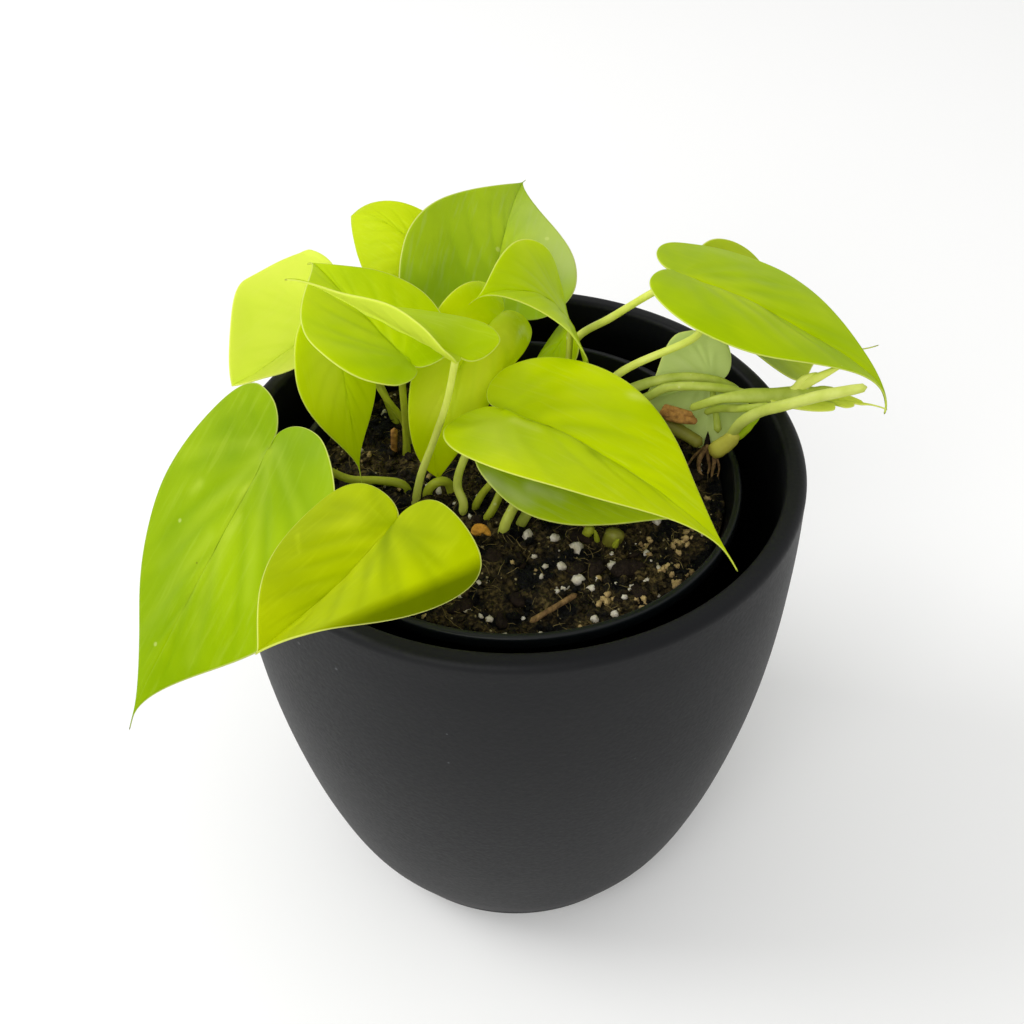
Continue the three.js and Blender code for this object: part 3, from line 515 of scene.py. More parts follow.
def bend_flap(leaf, x, y):
    """Turns down what lies beyond a blade's flap line, from point to point of the flat blade.

    The distance beyond the line, times the share that is left of it, turns through the angle on
    an arc FLAP_ROUND long, and then goes on straight. Gives where the point stands on the flat
    blade, how far it is sunk under it, its turn, and the line's outward direction.
    """
    start, end, angle, share = leaf["flap"]
    ahead = unit(end - start)
    out = np.array([ahead[1], -ahead[0]])
    out = out * np.sign(out @ start)
    beyond = np.maximum((x - start[0]) * out[0] + (y - start[1]) * out[1], 0)
    turn = angle * np.clip(beyond * share / FLAP_ROUND, 0, 1)
    straight = np.maximum(beyond * share - FLAP_ROUND, 0)
    kept = FLAP_ROUND / angle * np.sin(turn) + straight * np.cos(angle)
    sunk = FLAP_ROUND / angle * (1 - np.cos(turn)) + straight * np.sin(angle)
    return x + out[0] * (kept - beyond), y + out[1] * (kept - beyond), sunk, turn, out


def blade_surface(leaf, x, y):
    """Places flat points, x along the midrib and y out to the left, and gives the normals there.

    The midrib is the running sum of its direction. Across it each half is an arc that starts at
    the fold's slope and gains curl out to the margin. The fold is rounded over the crease.
    """
    length = leaf["length"]
    if leaf["flap"]:
        x, y, sunk, turn, out = bend_flap(leaf, x, y)
        point, normal = blade_surface({**leaf, "flap": None}, x, y)
        along, left, _ = blade_frame(leaf, x / length)
        away = unit(along * out[0] + left * out[1])
        bent = unit(normal * np.cos(turn)[..., None] + away * np.sin(turn)[..., None])
        return point - normal * sunk[..., None], bent
    table = np.linspace(*MIDRIB_REACH, MIDRIB_TABLE) * length
    along = blade_frame(leaf, table / length)[0]
    steps = (along[1:] + along[:-1]) / 2 * (table[1] - table[0])
    run = np.concatenate([[np.zeros(3)], np.cumsum(steps, 0)])
    spine = between(x, table, run) - between(0.0, table, run) + leaf["base"]
    _, left, upward = blade_frame(leaf, x / length)
    soft = np.sqrt(y ** 2 + CREASE ** 2)
    out, sign = soft - CREASE, y / soft
    mix = (1 + sign) / 2
    close = leaf["close"] * np.clip(x / length, -0.5, 1)
    fold = np.radians(leaf["fold"][0] * mix + leaf["fold"][1] * (1 - mix) + close)
    rates = np.radians(leaf["curl"]) / leaf["half"]
    rate = rates[0] * mix + rates[1] * (1 - mix)
    rate = np.where(np.abs(rate) < LEAST_CURL, LEAST_CURL, rate)
    turn = fold + rate * out
    across = sign * (np.sin(turn) - np.sin(fold)) / rate
    raised = (np.cos(fold) - np.cos(turn)) / rate
    point = spine + left * across[..., None] + upward * raised[..., None]
    normal = unit(upward * np.cos(turn)[..., None] - left * (sign * np.sin(turn))[..., None])
    return point, normal


def vein_mask(a, b, y, order):
    """How near a point is to a side vein, 1 on it: a along and b out, as shares.

    A vein from start to end goes along by (end - start) times (b / reach) to the vein's rise. Each
    strays a little at random, and not the same way on the left as on the right.
    """
    mask = np.zeros_like(a)
    for row, (start, end, reach) in enumerate(VEINS):
        for side in (-1, 1):
            seed = (order * 20 + row) * 2 + (side > 0)
            stray = np.random.default_rng(seed).normal(0, 1, 3) * VEIN_STRAY
            t = np.clip(b / (reach * (1 + stray[0])), 0, 1.2)
            line = start + stray[1] + (end - start + stray[2]) * t ** VEIN_RISE
            near = swell(a - line, VEIN_WIDTH) * (1 - smoothstep(*VEIN_END, t))
            mask = np.maximum(mask, near * (np.sign(y) == side))
    return mask


def stroke_marks(x, y, strokes):
    """The sum of the marks, each its tone times e to minus (distance / width) squared."""
    mark = np.zeros_like(x)
    for *line, tone in strokes:
        x0, y0, x1, y1, width = metres(line)
        dx, dy = x1 - x0, y1 - y0
        t = np.clip(((x - x0) * dx + (y - y0) * dy) / (dx * dx + dy * dy), 0, 1)
        off = np.hypot(x - x0 - t * dx, y - y0 - t * dy)
        mark += tone * swell(off, width) * (1 - t / 2)
    return np.clip(mark, -1, 1)


def add_blade(name, leaf, material, order):
    """A blade as a closed sheet on a fan of rings about its base.

    Ring s and outline point t give the flat point s times outline(t). The upper face sinks along
    the midrib and the side veins and rises and falls in low puckers, the lower one carries a rib,
    and both meet in a round margin that waves a little.
    """
    length = leaf["length"]
    outline = np.concatenate([half_outline(leaf, 0), half_outline(leaf, 1)[1:-1][::-1] * (1, -1)])
    for side, share, deep, wide in TEARS.get(name, []):
        place = swell(outline[:, 0] / length - share, wide) * (side * outline[:, 1] > 0)
        outline = outline * (1 - deep * place[:, None] * TEAR_PULL)
    rings = np.concatenate([np.linspace(0, 1, BLADE_RINGS + 1)[1:-2], MARGIN_RINGS])[:, None]
    x, y = rings * outline[:, 0], rings * outline[:, 1]
    rim = (1 - rings) * np.linalg.norm(outline, axis=1)
    half = np.where(y >= 0, *leaf["half"])
    a, b = x / length, np.abs(y) / half
    point, normal = blade_surface(leaf, x, y)
    band = vein_mask(a, b, y, order)
    fade = smoothstep(0, RELIEF_START, rings) * (1 - rings ** RELIEF_END)
    wave = value_noise(x, y, PUCKER_SIZE, order + PUCKER_SEED)
    wave = wave + FINE_PUCKER * value_noise(x, y, FINE_PUCKER_SIZE, order + FINE_PUCKER_SEED)
    groove = swell(y, GROOVE_WIDTH) * (1 - smoothstep(*GROOVE_END, a)) * (a > 0)
    relief = (wave * PUCKER * leaf["pucker"] - band * VEIN_DEPTH - groove * GROOVE_DEPTH) * fade
    steps = np.arange(len(outline)) * RIPPLE_RATE + order * 7
    ripple = value_noise(steps, 0 * steps, 1.0, order + RIPPLE_SEED) * RIPPLE
    relief = relief + ripple * smoothstep(RIPPLE_START, 1.0, rings) * smoothstep(*RIPPLE_CLEAR, np.abs(y))
    point = point + normal * relief[..., None]
    edge = np.clip(rim / MARGIN_ROUND, 0, 1)
    thick = BLADE_THICKNESS / 2 * np.sqrt(1 - (1 - edge) ** 2)
    rib = swell(y, RIB_WIDTH) * (1 - smoothstep(*RIB_END, a)) * (a > 0) * RIB_HEIGHT
    top = point + normal * thick[..., None]
    under = point - normal * (thick + (rib + band * VEIN_RIDGE) * fade)[..., None]
    (base,), (up,) = blade_surface(leaf, np.zeros(1), np.zeros(1))
    rows = np.concatenate([top, under[-2::-1]])
    vertices, faces = shell(rows, base + up * BLADE_THICKNESS / 2, base - up * BLADE_THICKNESS / 2)

    def both(upper, lower=None, poles=(0, 0)):
        """A value on both faces and on the poles. The lower rings run back to the base."""
        lower = upper if lower is None else lower
        return np.concatenate([upper.ravel(), lower[-2::-1].ravel(), poles])

    # The flap's share of its turn, which the leaf material uses to paint shade on the flap
    flap = bend_flap(leaf, x, y)[3] / leaf["flap"][2] if leaf["flap"] else 0 * x
    # Marks of vein colour and droplets, and painted highlights, sheen and light
    marks = stroke_marks(x, y, MARKS_AND_PAINTED_LIGHT.get(name, []))
    return make_piece(name + "_surface", vertices, faces, material, leaf["slot"], name, {
        "along": both(a), "across": both(y / half), "out": both(np.abs(y) * 1000), "mark": both(marks),
        "rim": both(rim * 1000, poles=(9, 9)), "under": both(0 * x, 0 * x + 1, (0, 1)),
        "band": both(band), "flap": both(flap),
    })


def smooth_route(points, samples):
    """Evenly spaced points on a centripetal Catmull-Rom curve through the given ones."""
    p = np.asarray(points, float)
    p = np.concatenate([[2 * p[0] - p[1]], p, [2 * p[-1] - p[-2]]])
    knot = np.sqrt(np.linalg.norm(np.diff(p, axis=0), axis=1))[:, None, None]
    d0, d1, d2 = knot[:-2], knot[1:-1], knot[2:]
    p0, p1, p2, p3 = (p[k:len(p) - 3 + k][:, None] for k in range(4))
    m1 = ((p1 - p0) / d0 - (p2 - p0) / (d0 + d1) + (p2 - p1) / d1) * d1
    m2 = ((p2 - p1) / d1 - (p3 - p1) / (d1 + d2) + (p3 - p2) / d2) * d1
    t = (np.arange(SPAN_STEPS) / SPAN_STEPS)[None, :, None]
    fine = ((2 * t ** 3 - 3 * t ** 2 + 1) * p1 + (t ** 3 - 2 * t ** 2 + t) * m1
            + (3 * t ** 2 - 2 * t ** 3) * p2 + (t ** 3 - t ** 2) * m2)
    fine = np.concatenate([fine.reshape(-1, 3), p[-2:-1]])
    run = np.concatenate([[0], np.cumsum(np.linalg.norm(np.diff(fine, axis=0), axis=1))])
    return between(np.linspace(0, run[-1], samples), run, fine), run[-1]


def rod(centre, radius, sides=STALK_SIDES, channel=0.0, wide=1.0, thin=1.0, facing=None):
    """A closed tube along a path: centre plus radius times (cos, sin) in the path's cross plane.

    The section is an oval whose flat side looks along facing, or out of the path's own plane.
    channel is the share by which one side is sunk.
    """
    if facing is None:
        facing = np.linalg.svd(centre - centre.mean(0), full_matrices=False)[2][-1]
    angle = round_angles(sides)
    section = wide * thin / np.hypot(thin * np.cos(angle), wide * np.sin(angle))
    section = section * (1 - channel * swell(angle - np.pi / 2, CHANNEL_WIDTH))
    forward = unit(np.gradient(centre, axis=0))
    side = unit(np.cross(forward, facing))
    up = np.cross(side, forward)
    ring = side[:, None] * np.cos(angle)[:, None] + up[:, None] * np.sin(angle)[:, None]
    girth = np.reshape(radius, (-1, 1)) * section
    return shell(centre[:, None] + ring * girth[..., None], centre[0], centre[-1])


def join(parts):
    """One vertex array and face list from several."""
    vertices, faces, start = [], [], 0
    for points, polygons in parts:
        vertices.append(points)
        faces += [[corner + start for corner in polygon] for polygon in polygons]
        start += len(points)
    return np.concatenate(vertices), faces


def rounded_ends(t, length, radius):
    """A factor that rounds off both ends of a rod: t along it from 0 to 1."""
    near = np.clip(np.minimum(t, 1 - t) * length / (radius * END_ROUND), 0, 1)
    return np.sqrt(1 - (1 - near) ** 2) * (1 - END_FLAT) + END_FLAT


def with_poles(t, sides):
    """Each share along a rod for all the sides of its ring, and then for its two poles."""
    return np.concatenate([np.repeat(t, sides), [0, 1]])


def add_stalk(name, radius, leaf_name, route, material, slot):
    """A stalk along its route, a little thicker at its foot and just under its blade."""
    points, radius = metres(route), metres(radius)
    if leaf_name:
        leaf = BLADES[leaf_name]
        upward = blade_frame(leaf, np.zeros(1))[2]
        points = np.concatenate([points, leaf["base"] - upward * (BLADE_THICKNESS / 2 + radius / 2)])
    length = np.linalg.norm(np.diff(points, axis=0), axis=1).sum()
    centre, _ = smooth_route(points, max(STALK_LEAST_STEPS, int(length / STALK_STEP)))
    t = np.linspace(0, 1, len(centre))
    if name in SHAPES:
        factors, wide, thin = SHAPES[name]
        girth = np.interp(t, *np.transpose(factors))
        section = {"wide": wide, "thin": thin, "facing": FACING}
    else:
        girth = 1 + FOOT_SWELL * swell(t, FOOT_LENGTH) - WAIST * np.sin(np.pi * t)
        section = {"channel": CHANNEL if leaf_name else 0.0}
        if leaf_name:
            girth *= (1 - NECK_SHRINK * t) * (1 + NECK_SWELL * swell(t - NECK_PLACE, NECK_LENGTH))
    girth = radius * girth * (1 + KNOBBLE * np.sin(t * KNOBBLE_RATE + len(name)))
    girth *= rounded_ends(t, length, radius * CUT_ENDS.get(name, 1))
    vertices, faces = rod(centre, girth, **section)
    values = {"along": with_poles(t, STALK_SIDES)}
    return make_piece(name + "_surface", vertices, faces, material, slot, name, values)


def add_strands(name, radii, routes, material, slot, node=None, taper=0.75, wide=1.0):
    """Several thin strands as one piece, each tapering to its end, with measures in millimetres."""
    parts, shares = [], []
    for radius, route in zip(radii, routes):
        centre, length = smooth_route(metres(route), STRAND_STEPS)
        t = np.linspace(0, 1, STRAND_STEPS)
        girth = metres(radius) * (1 - taper * t ** 2) * rounded_ends(t, length, metres(radius))
        parts.append(rod(centre, girth, STRAND_SIDES, wide=wide, facing=FACING))
        shares.append(with_poles(t, STRAND_SIDES))
    return make_piece(name, *join(parts), material, slot, node, {"along": np.concatenate(shares)})


def turned(profile, sectors):
    """Rows of a surface of revolution about Z: profile point (r, z) at every angle."""
    angle = round_angles(sectors)
    r, z = np.hsplit(np.asarray(profile, float), 2)
    return np.stack([r * np.cos(angle), r * np.sin(angle), z + 0 * angle], -1)


def soft_profile(points, samples):
    """A smooth line of [radius, height] through the given points."""
    return smooth_route([(r, 0.0, z) for r, z in points], samples)[0][:, [0, 2]]


def arc(centre, radius, start, end, steps):
    """An arc of [radius, height] points from one angle to another, in degrees."""
    angle = np.radians(np.linspace(start, end, steps))
    return np.stack([centre[0] + radius * np.cos(angle), centre[1] + radius * np.sin(angle)], -1)

# Materials


def colour(text):
    """A colour written as six hex digits, in linear light."""
    parts = [int(text[k:k + 2], 16) / 255 for k in (0, 2, 4)]
    return (*[p / 12.92 if p <= 0.04045 else ((p + 0.055) / 1.055) ** 2.4 for p in parts], 1)


def put(tree, kind, inputs=None, **settings):
    """Adds a node, sets its options, and links or sets each named or numbered input."""
    node = tree.nodes.new(kind)
    for key, value in settings.items():
        setattr(node, key, value)
    for key, value in (inputs or {}).items():
        if isinstance(value, bpy.types.NodeSocket):
            tree.links.new(value, node.inputs[key])
        else:
            node.inputs[key].default_value = value
    return node


def calc(tree, operation, a, b, clamp=False):
    """One number worked out from two others."""
    return put(tree, "ShaderNodeMath", {0: a, 1: b}, operation=operation, use_clamp=clamp).outputs[0]


def times(tree, a, b, clamp=False):
    return calc(tree, "MULTIPLY", a, b, clamp)


def fade_between(tree, value, low, high, start=0.0, end=1.0):
    """start below low, end above high, and a smooth step between."""
    inputs = {"Value": value, "From Min": low, "From Max": high, "To Min": start, "To Max": end}
    return put(tree, "ShaderNodeMapRange", inputs, interpolation_type="SMOOTHSTEP").outputs[0]


def blend_colour(tree, factor, a, b):
    """Colour a blended with colour b."""
    return put(tree, "ShaderNodeMix", {0: factor, 6: a, 7: b}, data_type="RGBA").outputs[2]


def new_group(name, numbers, outputs, place=True):
    """A node group with number inputs, a place on the piece if wanted, and number outputs."""
    tree = bpy.data.node_groups.new(name, "ShaderNodeTree")
    if place:
        tree.interface.new_socket("Place", in_out="INPUT", socket_type="NodeSocketVector")
    for title, value in numbers.items():
        socket = tree.interface.new_socket(title, in_out="INPUT", socket_type="NodeSocketFloat")
        socket.default_value = value
    for title in outputs:
        tree.interface.new_socket(title, in_out="OUTPUT", socket_type="NodeSocketFloat")
    return tree, tree.nodes.new("NodeGroupInput").outputs


def make_mottle():
    """Cloudy value from 0 to 1: fractal noise with its contrast raised about the middle."""
    tree, given = new_group("Mottle", {"Scale": 100.0, "Contrast": 2.0}, ["Value"])
    inputs = {"Vector": given["Place"], "Scale": given["Scale"], "Detail": 4.0}
    noise = put(tree, "ShaderNodeTexNoise", inputs)
    raised = times(tree, calc(tree, "SUBTRACT", noise.outputs["Fac"], 0.5), given["Contrast"])
    put(tree, "NodeGroupOutput", {"Value": calc(tree, "ADD", raised, 0.5, clamp=True)})
    return tree


def make_specks():
    """Small round marks: cells whose random number is under the share show a disc of a given size."""
    tree, given = new_group("Specks", {"Scale": 300.0, "Size": 0.2, "Share": 0.1}, ["Mask"])
    cells = put(tree, "ShaderNodeTexVoronoi", {"Vector": given["Place"], "Scale": given["Scale"]})
    parts = put(tree, "ShaderNodeSeparateColor", {0: cells.outputs["Color"]}).outputs
    chosen = calc(tree, "LESS_THAN", parts[0], given["Share"])
    spread = times(tree, given["Size"], calc(tree, "ADD", parts[1], 0.4))
    disc = put(tree, "ShaderNodeMapRange", {
        "Value": cells.outputs["Distance"], "From Min": times(tree, spread, 0.6), "From Max": spread,
        "To Min": 1.0, "To Max": 0.0})
    put(tree, "NodeGroupOutput", {"Mask": times(tree, disc.outputs[0], chosen, clamp=True)})
    return tree


def make_blade_pattern():
    """Marks of a blade: the midrib, the deeper colour beside it, the margin, and lengthwise streaks.

    Out is the distance from the midrib and Rim that from the margin, both in millimetres.
    """
    numbers = {"Along": 0.0, "Across": 0.0, "Out": 0.0, "Rim": 1.0, "Seed": 0.0}
    tree, given = new_group(
        "Blade pattern", numbers, ["Midrib", "Beside", "Margin", "Streaks"], place=False)
    ahead = fade_between(tree, given["Along"], -0.01, 0.02)
    length = times(tree, ahead, fade_between(tree, given["Along"], 0.55, 0.95, 1.0, 0.0))
    line = fade_between(tree, given["Out"], 0.12, 0.42, 1.0, 0.0)
    wide = fade_between(tree, given["Out"], 0.5, 2.2, 1.0, 0.0)
    stretched = put(tree, "ShaderNodeCombineXYZ", {
        0: times(tree, given["Along"], 3.0), 1: times(tree, given["Across"], 14.0), 2: given["Seed"]})
    noise = put(tree, "ShaderNodeTexNoise", {"Vector": stretched.outputs[0], "Scale": 1.6, "Detail": 3.0})
    put(tree, "NodeGroupOutput", {
        "Midrib": times(tree, line, length), "Beside": times(tree, wide, length),
        "Margin": fade_between(tree, given["Rim"], 0.12, 0.42, 1.0, 0.0),
        "Streaks": fade_between(tree, noise.outputs["Fac"], 0.5, 0.75)})
    return tree


MOTTLE, SPECKS, BLADE_PATTERN = make_mottle(), make_specks(), make_blade_pattern()


class Finish:
    """A material in the making: its nodes, its place on the piece, and the base colour so far."""

    def __init__(self, name, base):
        self.material = bpy.data.materials.new(name)
        self.material.use_nodes = True
        self.tree = self.material.node_tree
        self.tree.nodes.clear()
        self.place = put(self.tree, "ShaderNodeTexCoord").outputs["Object"]
        self.base = colour(base)

    def read(self, name):
        """A value that the mesh carries."""
        return put(self.tree, "ShaderNodeAttribute", attribute_name=name).outputs["Fac"]

    def group(self, group, **inputs):
        """The outputs of a shared group."""
        inputs = {title.capitalize(): value for title, value in inputs.items()}
        return put(self.tree, "ShaderNodeGroup", inputs, node_tree=group).outputs

    def mottle(self, scale, contrast):
        return self.group(MOTTLE, place=self.place, scale=scale, contrast=contrast)[0]

    def specks(self, scale, size, share):
        return self.group(SPECKS, place=self.place, scale=scale, size=size, share=share)[0]

    def cover(self, mask, share, tint):
        """Covers the base colour with a tint, as far as the mask times a share."""
        self.base = blend_colour(self.tree, times(self.tree, mask, share), self.base, colour(tint))

    def principled(self, rough, uneven, relief, level=0.5, tint=(1, 1, 1, 1)):
        """The Principled shader.

        uneven holds (mask, gain) pairs that are added to the roughness. relief is a height, its
        depth in metres and its strength. level and tint are those of the sheen.
        """
        for mask, gain in uneven:
            rough = calc(self.tree, "ADD", times(self.tree, mask, gain), rough)
        height, depth, strength = relief
        self.normal = put(self.tree, "ShaderNodeBump", {
            "Height": height, "Distance": depth, "Strength": strength}).outputs["Normal"]
        return put(self.tree, "ShaderNodeBsdfPrincipled", {
            "Base Color": self.base, "Roughness": rough, "Normal": self.normal,
            "Specular IOR Level": level, "Specular Tint": tint}).outputs[0]

    def end(self, surface, passing=None, share=0.0):
        """Ends the material in its surface, with a share that lets light through in a colour."""
        if passing:
            through = put(self.tree, "ShaderNodeBsdfTranslucent", passing).outputs[0]
            surface = put(self.tree, "ShaderNodeMixShader", {0: share, 1: surface, 2: through}).outputs[0]
        put(self.tree, "ShaderNodeOutputMaterial", {"Surface": surface})
        return self.material


def leaf_material(name, light, deep, rib, gloss, level, through, glow="f2fb00", streaks=0.12,
                  under="c3d23c", beside=0.3, band=0.3, tint=0.0, shade="86a000", turned=0.6, seed=0.0):
    """A waxy blade: cloudy green between light and deep, soft veins, thin margin, paler underside,
    marks that hold painted highlights, sheen and light, and painted shade on a turned-down flap.

    gloss is its roughness, level its sheen, through the share of light that passes, and glow the
    colour of that light.
    """
    leaf = Finish(name, light)
    own = {title: leaf.read(title) for title in ("along", "across", "out", "rim")}
    pattern = leaf.group(BLADE_PATTERN, **own, seed=seed)
    grain = leaf.mottle(scale=420.0, contrast=1.4)
    mark = leaf.read("mark")
    for mask, share, cover in (
            (leaf.mottle(scale=34.0, contrast=2.4), 0.85, deep), (leaf.read("band"), band, deep),
            (pattern["Streaks"], streaks, rib), (pattern["Beside"], beside, deep),
            # mark darkens towards shade and lightens towards rib: vein colour and droplet marks, and also
            # painted highlights, painted sheen and painted light
            (mark, -0.75, shade), (mark, 0.6, rib), (leaf.read("under"), turned, under),
            # The flap value paints shade: the turned-down flap is darkened towards a deep green
            (leaf.read("flap"), 0.85, FLAP_PAINTED_SHADE), (pattern["Midrib"], 0.16, rib),
            (leaf.specks(scale=230.0, size=0.16, share=0.03), 0.4, "e6ee90"),
            (leaf.specks(scale=110.0, size=0.06, share=0.03), 0.7, "5c4a1a"),
            (pattern["Margin"], 0.7, "f0f290")):
        leaf.cover(mask, share, cover)
    surface = leaf.principled(gloss, [(grain, 0.12)], (grain, 0.00008, 0.5), level, (0.95, 1.0, tint, 1))
    lit = blend_colour(leaf.tree, 0.7, leaf.base, colour(glow))
    return leaf.end(surface, {"Color": lit, "Normal": leaf.normal}, through)


def stalk_material(name, light, deep, foot):
    """A juicy stalk: fine lengthwise streaks, deeper towards its foot, small pale dots."""
    stalk = Finish(name, light)
    streaks = stalk.mottle(scale=260.0, contrast=1.8)
    stalk.cover(streaks, 1.0, deep)
    stalk.cover(stalk.mottle(scale=70.0, contrast=1.6), 0.4, deep)
    stalk.cover(fade_between(stalk.tree, stalk.read("along"), 0.0, 0.3, 0.7, 0.0), 1.0, foot)
    stalk.cover(stalk.specks(scale=620.0, size=0.25, share=0.12), 0.35, "eef0c0")
    surface = stalk.principled(0.34, [(streaks, 0.15)], (streaks, 0.00015, 0.5), level=0.3)
    return stalk.end(surface, {"Color": stalk.base}, 0.35)


def dry_material(name, light, deep, dark):
    """Papery dead tissue: brown blotches and lengthwise fibres, dull."""
    dead = Finish(name, light)
    fibres = dead.mottle(scale=900.0, contrast=3.0)
    dead.cover(dead.mottle(scale=240.0, contrast=2.6), 1.0, deep)
    dead.cover(fibres, 0.5, dark)
    return dead.end(dead.principled(0.7, [(fibres, 0.2)], (fibres, 0.0004, 0.8), level=0.15))


def pot_material(name, shade, worn, inner, gloss, grain_scale, level):
    """Moulded or glazed wall: fine grain, faint scuffs, dust specks, and an inside painted darker as painted
    shade.
    """
    wall = Finish(name, shade)
    grain, clouds = wall.mottle(scale=grain_scale, contrast=1.5), wall.mottle(scale=26.0, contrast=1.6)
    wall.cover(clouds, 0.35, worn)
    wall.cover(grain, 0.25, worn)
    wall.cover(wall.specks(scale=330.0, size=0.14, share=0.02), 0.3, "6b6d70")
    # Painted shade: the inside of the wall goes near black
    wall.cover(wall.read("inside"), 0.95, inner)
    uneven = [(grain, 0.1), (clouds, 0.06)]
    return wall.end(wall.principled(gloss, uneven, (grain, 0.00012, 0.35), level=level))


def soil_material():
    """Peat: black to brown by patches, with lighter crumbs and dull grit."""
    soil = Finish("Peat soil", "040404")
    patches, crumbs = soil.mottle(scale=150.0, contrast=6.0), soil.mottle(scale=900.0, contrast=4.5)
    soil.cover(patches, 1.0, "1c160a")
    soil.cover(crumbs, times(soil.tree, patches, 0.6), "6a5a34")
    soil.cover(soil.specks(scale=900.0, size=0.3, share=0.08), 0.6, "b8a878")
    return soil.end(soil.principled(0.6, [(patches, 0.3)], (crumbs, 0.0008, 0.9), level=0.15))


def mineral_material(name, light, deep, scale):
    """Dull grains with pits and stains."""
    grain = Finish(name, light)
    grain.cover(grain.mottle(scale=scale, contrast=2.2), 1.0, deep)
    pits = grain.mottle(scale=scale * 5, contrast=3.0)
    return grain.end(grain.principled(0.75, [(pits, 0.2)], (pits, 0.0002, 0.7)))


# Dark green painted over the turned-down flap of leaf_front_left: painted shade, as the flap faces away from
# the light
FLAP_PAINTED_SHADE = "3c5000"
# Each blade's light, deep and rib colours, roughness, sheen and share of light let through, and
# what else differs from the usual
LEAVES = {
    "leaf_front": ("e0f000", "b6d000", "f0f67c", 0.32, 0.2, 0.4, dict(beside=0.25)),
    # Its near-white rib colour also colours its painted highlights
    "leaf_under_front": ("dcf220", "b6d414", "f6fad8", 0.28, 0.6, 0.4, dict(tint=0.5)),
    "leaf_front_left": (
        "c2d000", "90a200", "e6ee2c", 0.36, 0.2, 0.4, dict(beside=0.0, band=0.5, shade="7c9200")),
    "leaf_left_large": (
        "a4c204", "769c00", "c8dc50", 0.36, 0.3, 0.3,
        dict(glow="c0dc10", streaks=0.15, under="9cb84c", beside=0.0, band=0.35)),
    "leaf_young_folded": (
        "c6da00", "a4be00", "f0f68a", 0.36, 0.2, 0.5, dict(glow="f8ff50", under="f0ff5c", turned=1.0)),
    "leaf_centre_left": ("d0e400", "9cbc00", "e2ee40", 0.32, 0.24, 0.4, {}),
    "leaf_hanging": ("e2f60a", "bcd600", "f6fc60", 0.40, 0.16, 0.55, {}),
    # Its greyish rib colour also colours its painted sheen
    "leaf_back_large": (
        "c0d81c", "8cb008", "c2cc94", 0.44, 0.36, 0.3,
        dict(glow="c8e040", streaks=0.15, under="9cb84c", beside=0.0, band=0.2, tint=0.25)),
    "leaf_centre_folded": ("e6f800", "b4d000", "e8f450", 0.36, 0.16, 0.5, {}),
    "leaf_centre_small": ("d4ea04", "aac800", "e4f050", 0.38, 0.2, 0.55, {}),
    "leaf_centre_curled": (
        "f4ff00", "d2ee00", "fcff60", 0.2, 0.45, 0.62,
        dict(glow="faff10", under="ecf818", tint=0.2, shade="9cba00")),
    "leaf_back_left": (
        "f0fa6c", "d6ec3c", "f6faa0", 0.40, 0.4, 0.55, dict(glow="fcffa0", under="ecf870", tint=0.4)),
    "leaf_back_small": ("e2f01c", "bcd208", "eef66a", 0.40, 0.3, 0.5, dict(tint=0.2)),
    "leaf_right_large": (
        "c6de00", "9cbe00", "e4f020", 0.34, 0.22, 0.4,
        dict(streaks=0.1, beside=0.0, band=0.35, shade="8cac00")),
    "leaf_right_under": ("bcd020", "98ae14", "d8e26a", 0.40, 0.2, 0.4, {}),
    "leaf_right_underside": (
        "dcec88", "bcd460", "f2f8c8", 0.50, 0.5, 0.5,
        dict(glow="eef8b8", streaks=0.3, under="e6f2a8", tint=0.8)),
    "leaf_right_far": ("eef476", "d0de48", "f6faa8", 0.34, 0.3, 0.5, dict(tint=0.4)),
}
# Light, deep and foot colours of the stalks
STALK_COLOURS = {
    "pale": ("fafc90", "e4ee62", "c8d04a"), "green": ("e2ea78", "a6b832", "b0bc40"),
    "fresh": ("cee030", "a0c014", "b8c820"), "light": ("e8ee8c", "c2ce4c", "c8d058"),
    "brown": ("aeb046", "7e7628", "64501e"), "olive": ("d4da48", "b6c030", "98a028"),
    "yellow": ("e2de66", "c6c044", "8e7a2c"),
}
# Light, deep and fibre colours of dead tissue
DRY_COLOURS = {
    "sheath": ("c4924c", "96682f", "54361a"), "flake": ("eaae44", "c88a2c", "7c4c18"),
    "twig": ("94764a", "6a5030", "342616"), "bark": ("2c2014", "17100a", "090604"),
    "fibre": ("9c8a58", "665a30", "342c18"),
}
LOOKS = {look: (stalk_material("Stalk " + look, *row), "stalk") for look, row in STALK_COLOURS.items()}
LOOKS.update({look: (dry_material("Dry " + look, *row), "dry") for look, row in DRY_COLOURS.items()})
pot_charcoal = pot_material("Pot charcoal", "0a0b0d", "141518", "020303", 0.44, 900.0, 0.19)
pot_nursery = pot_material("Nursery plastic", "080b0a", "10161a", "040606", 0.30, 500.0, 0.3)
peat = soil_material()
perlite = mineral_material("Perlite", "e0dacc", "a89c82", 560.0)
grit = mineral_material("Tan grit", "c4aa70", "786038", 620.0)

# Plant

for order, (name, leaf) in enumerate(BLADES.items()):
    *look, other = LEAVES[name]
    title = name.replace("_", " ").capitalize()
    add_blade(name, leaf, leaf_material(title, *look, **other, seed=float(order)), order)

for name, (radius, leaf_name, look, route) in STALKS.items():
    add_stalk(name, radius, leaf_name, route, *LOOKS[look])

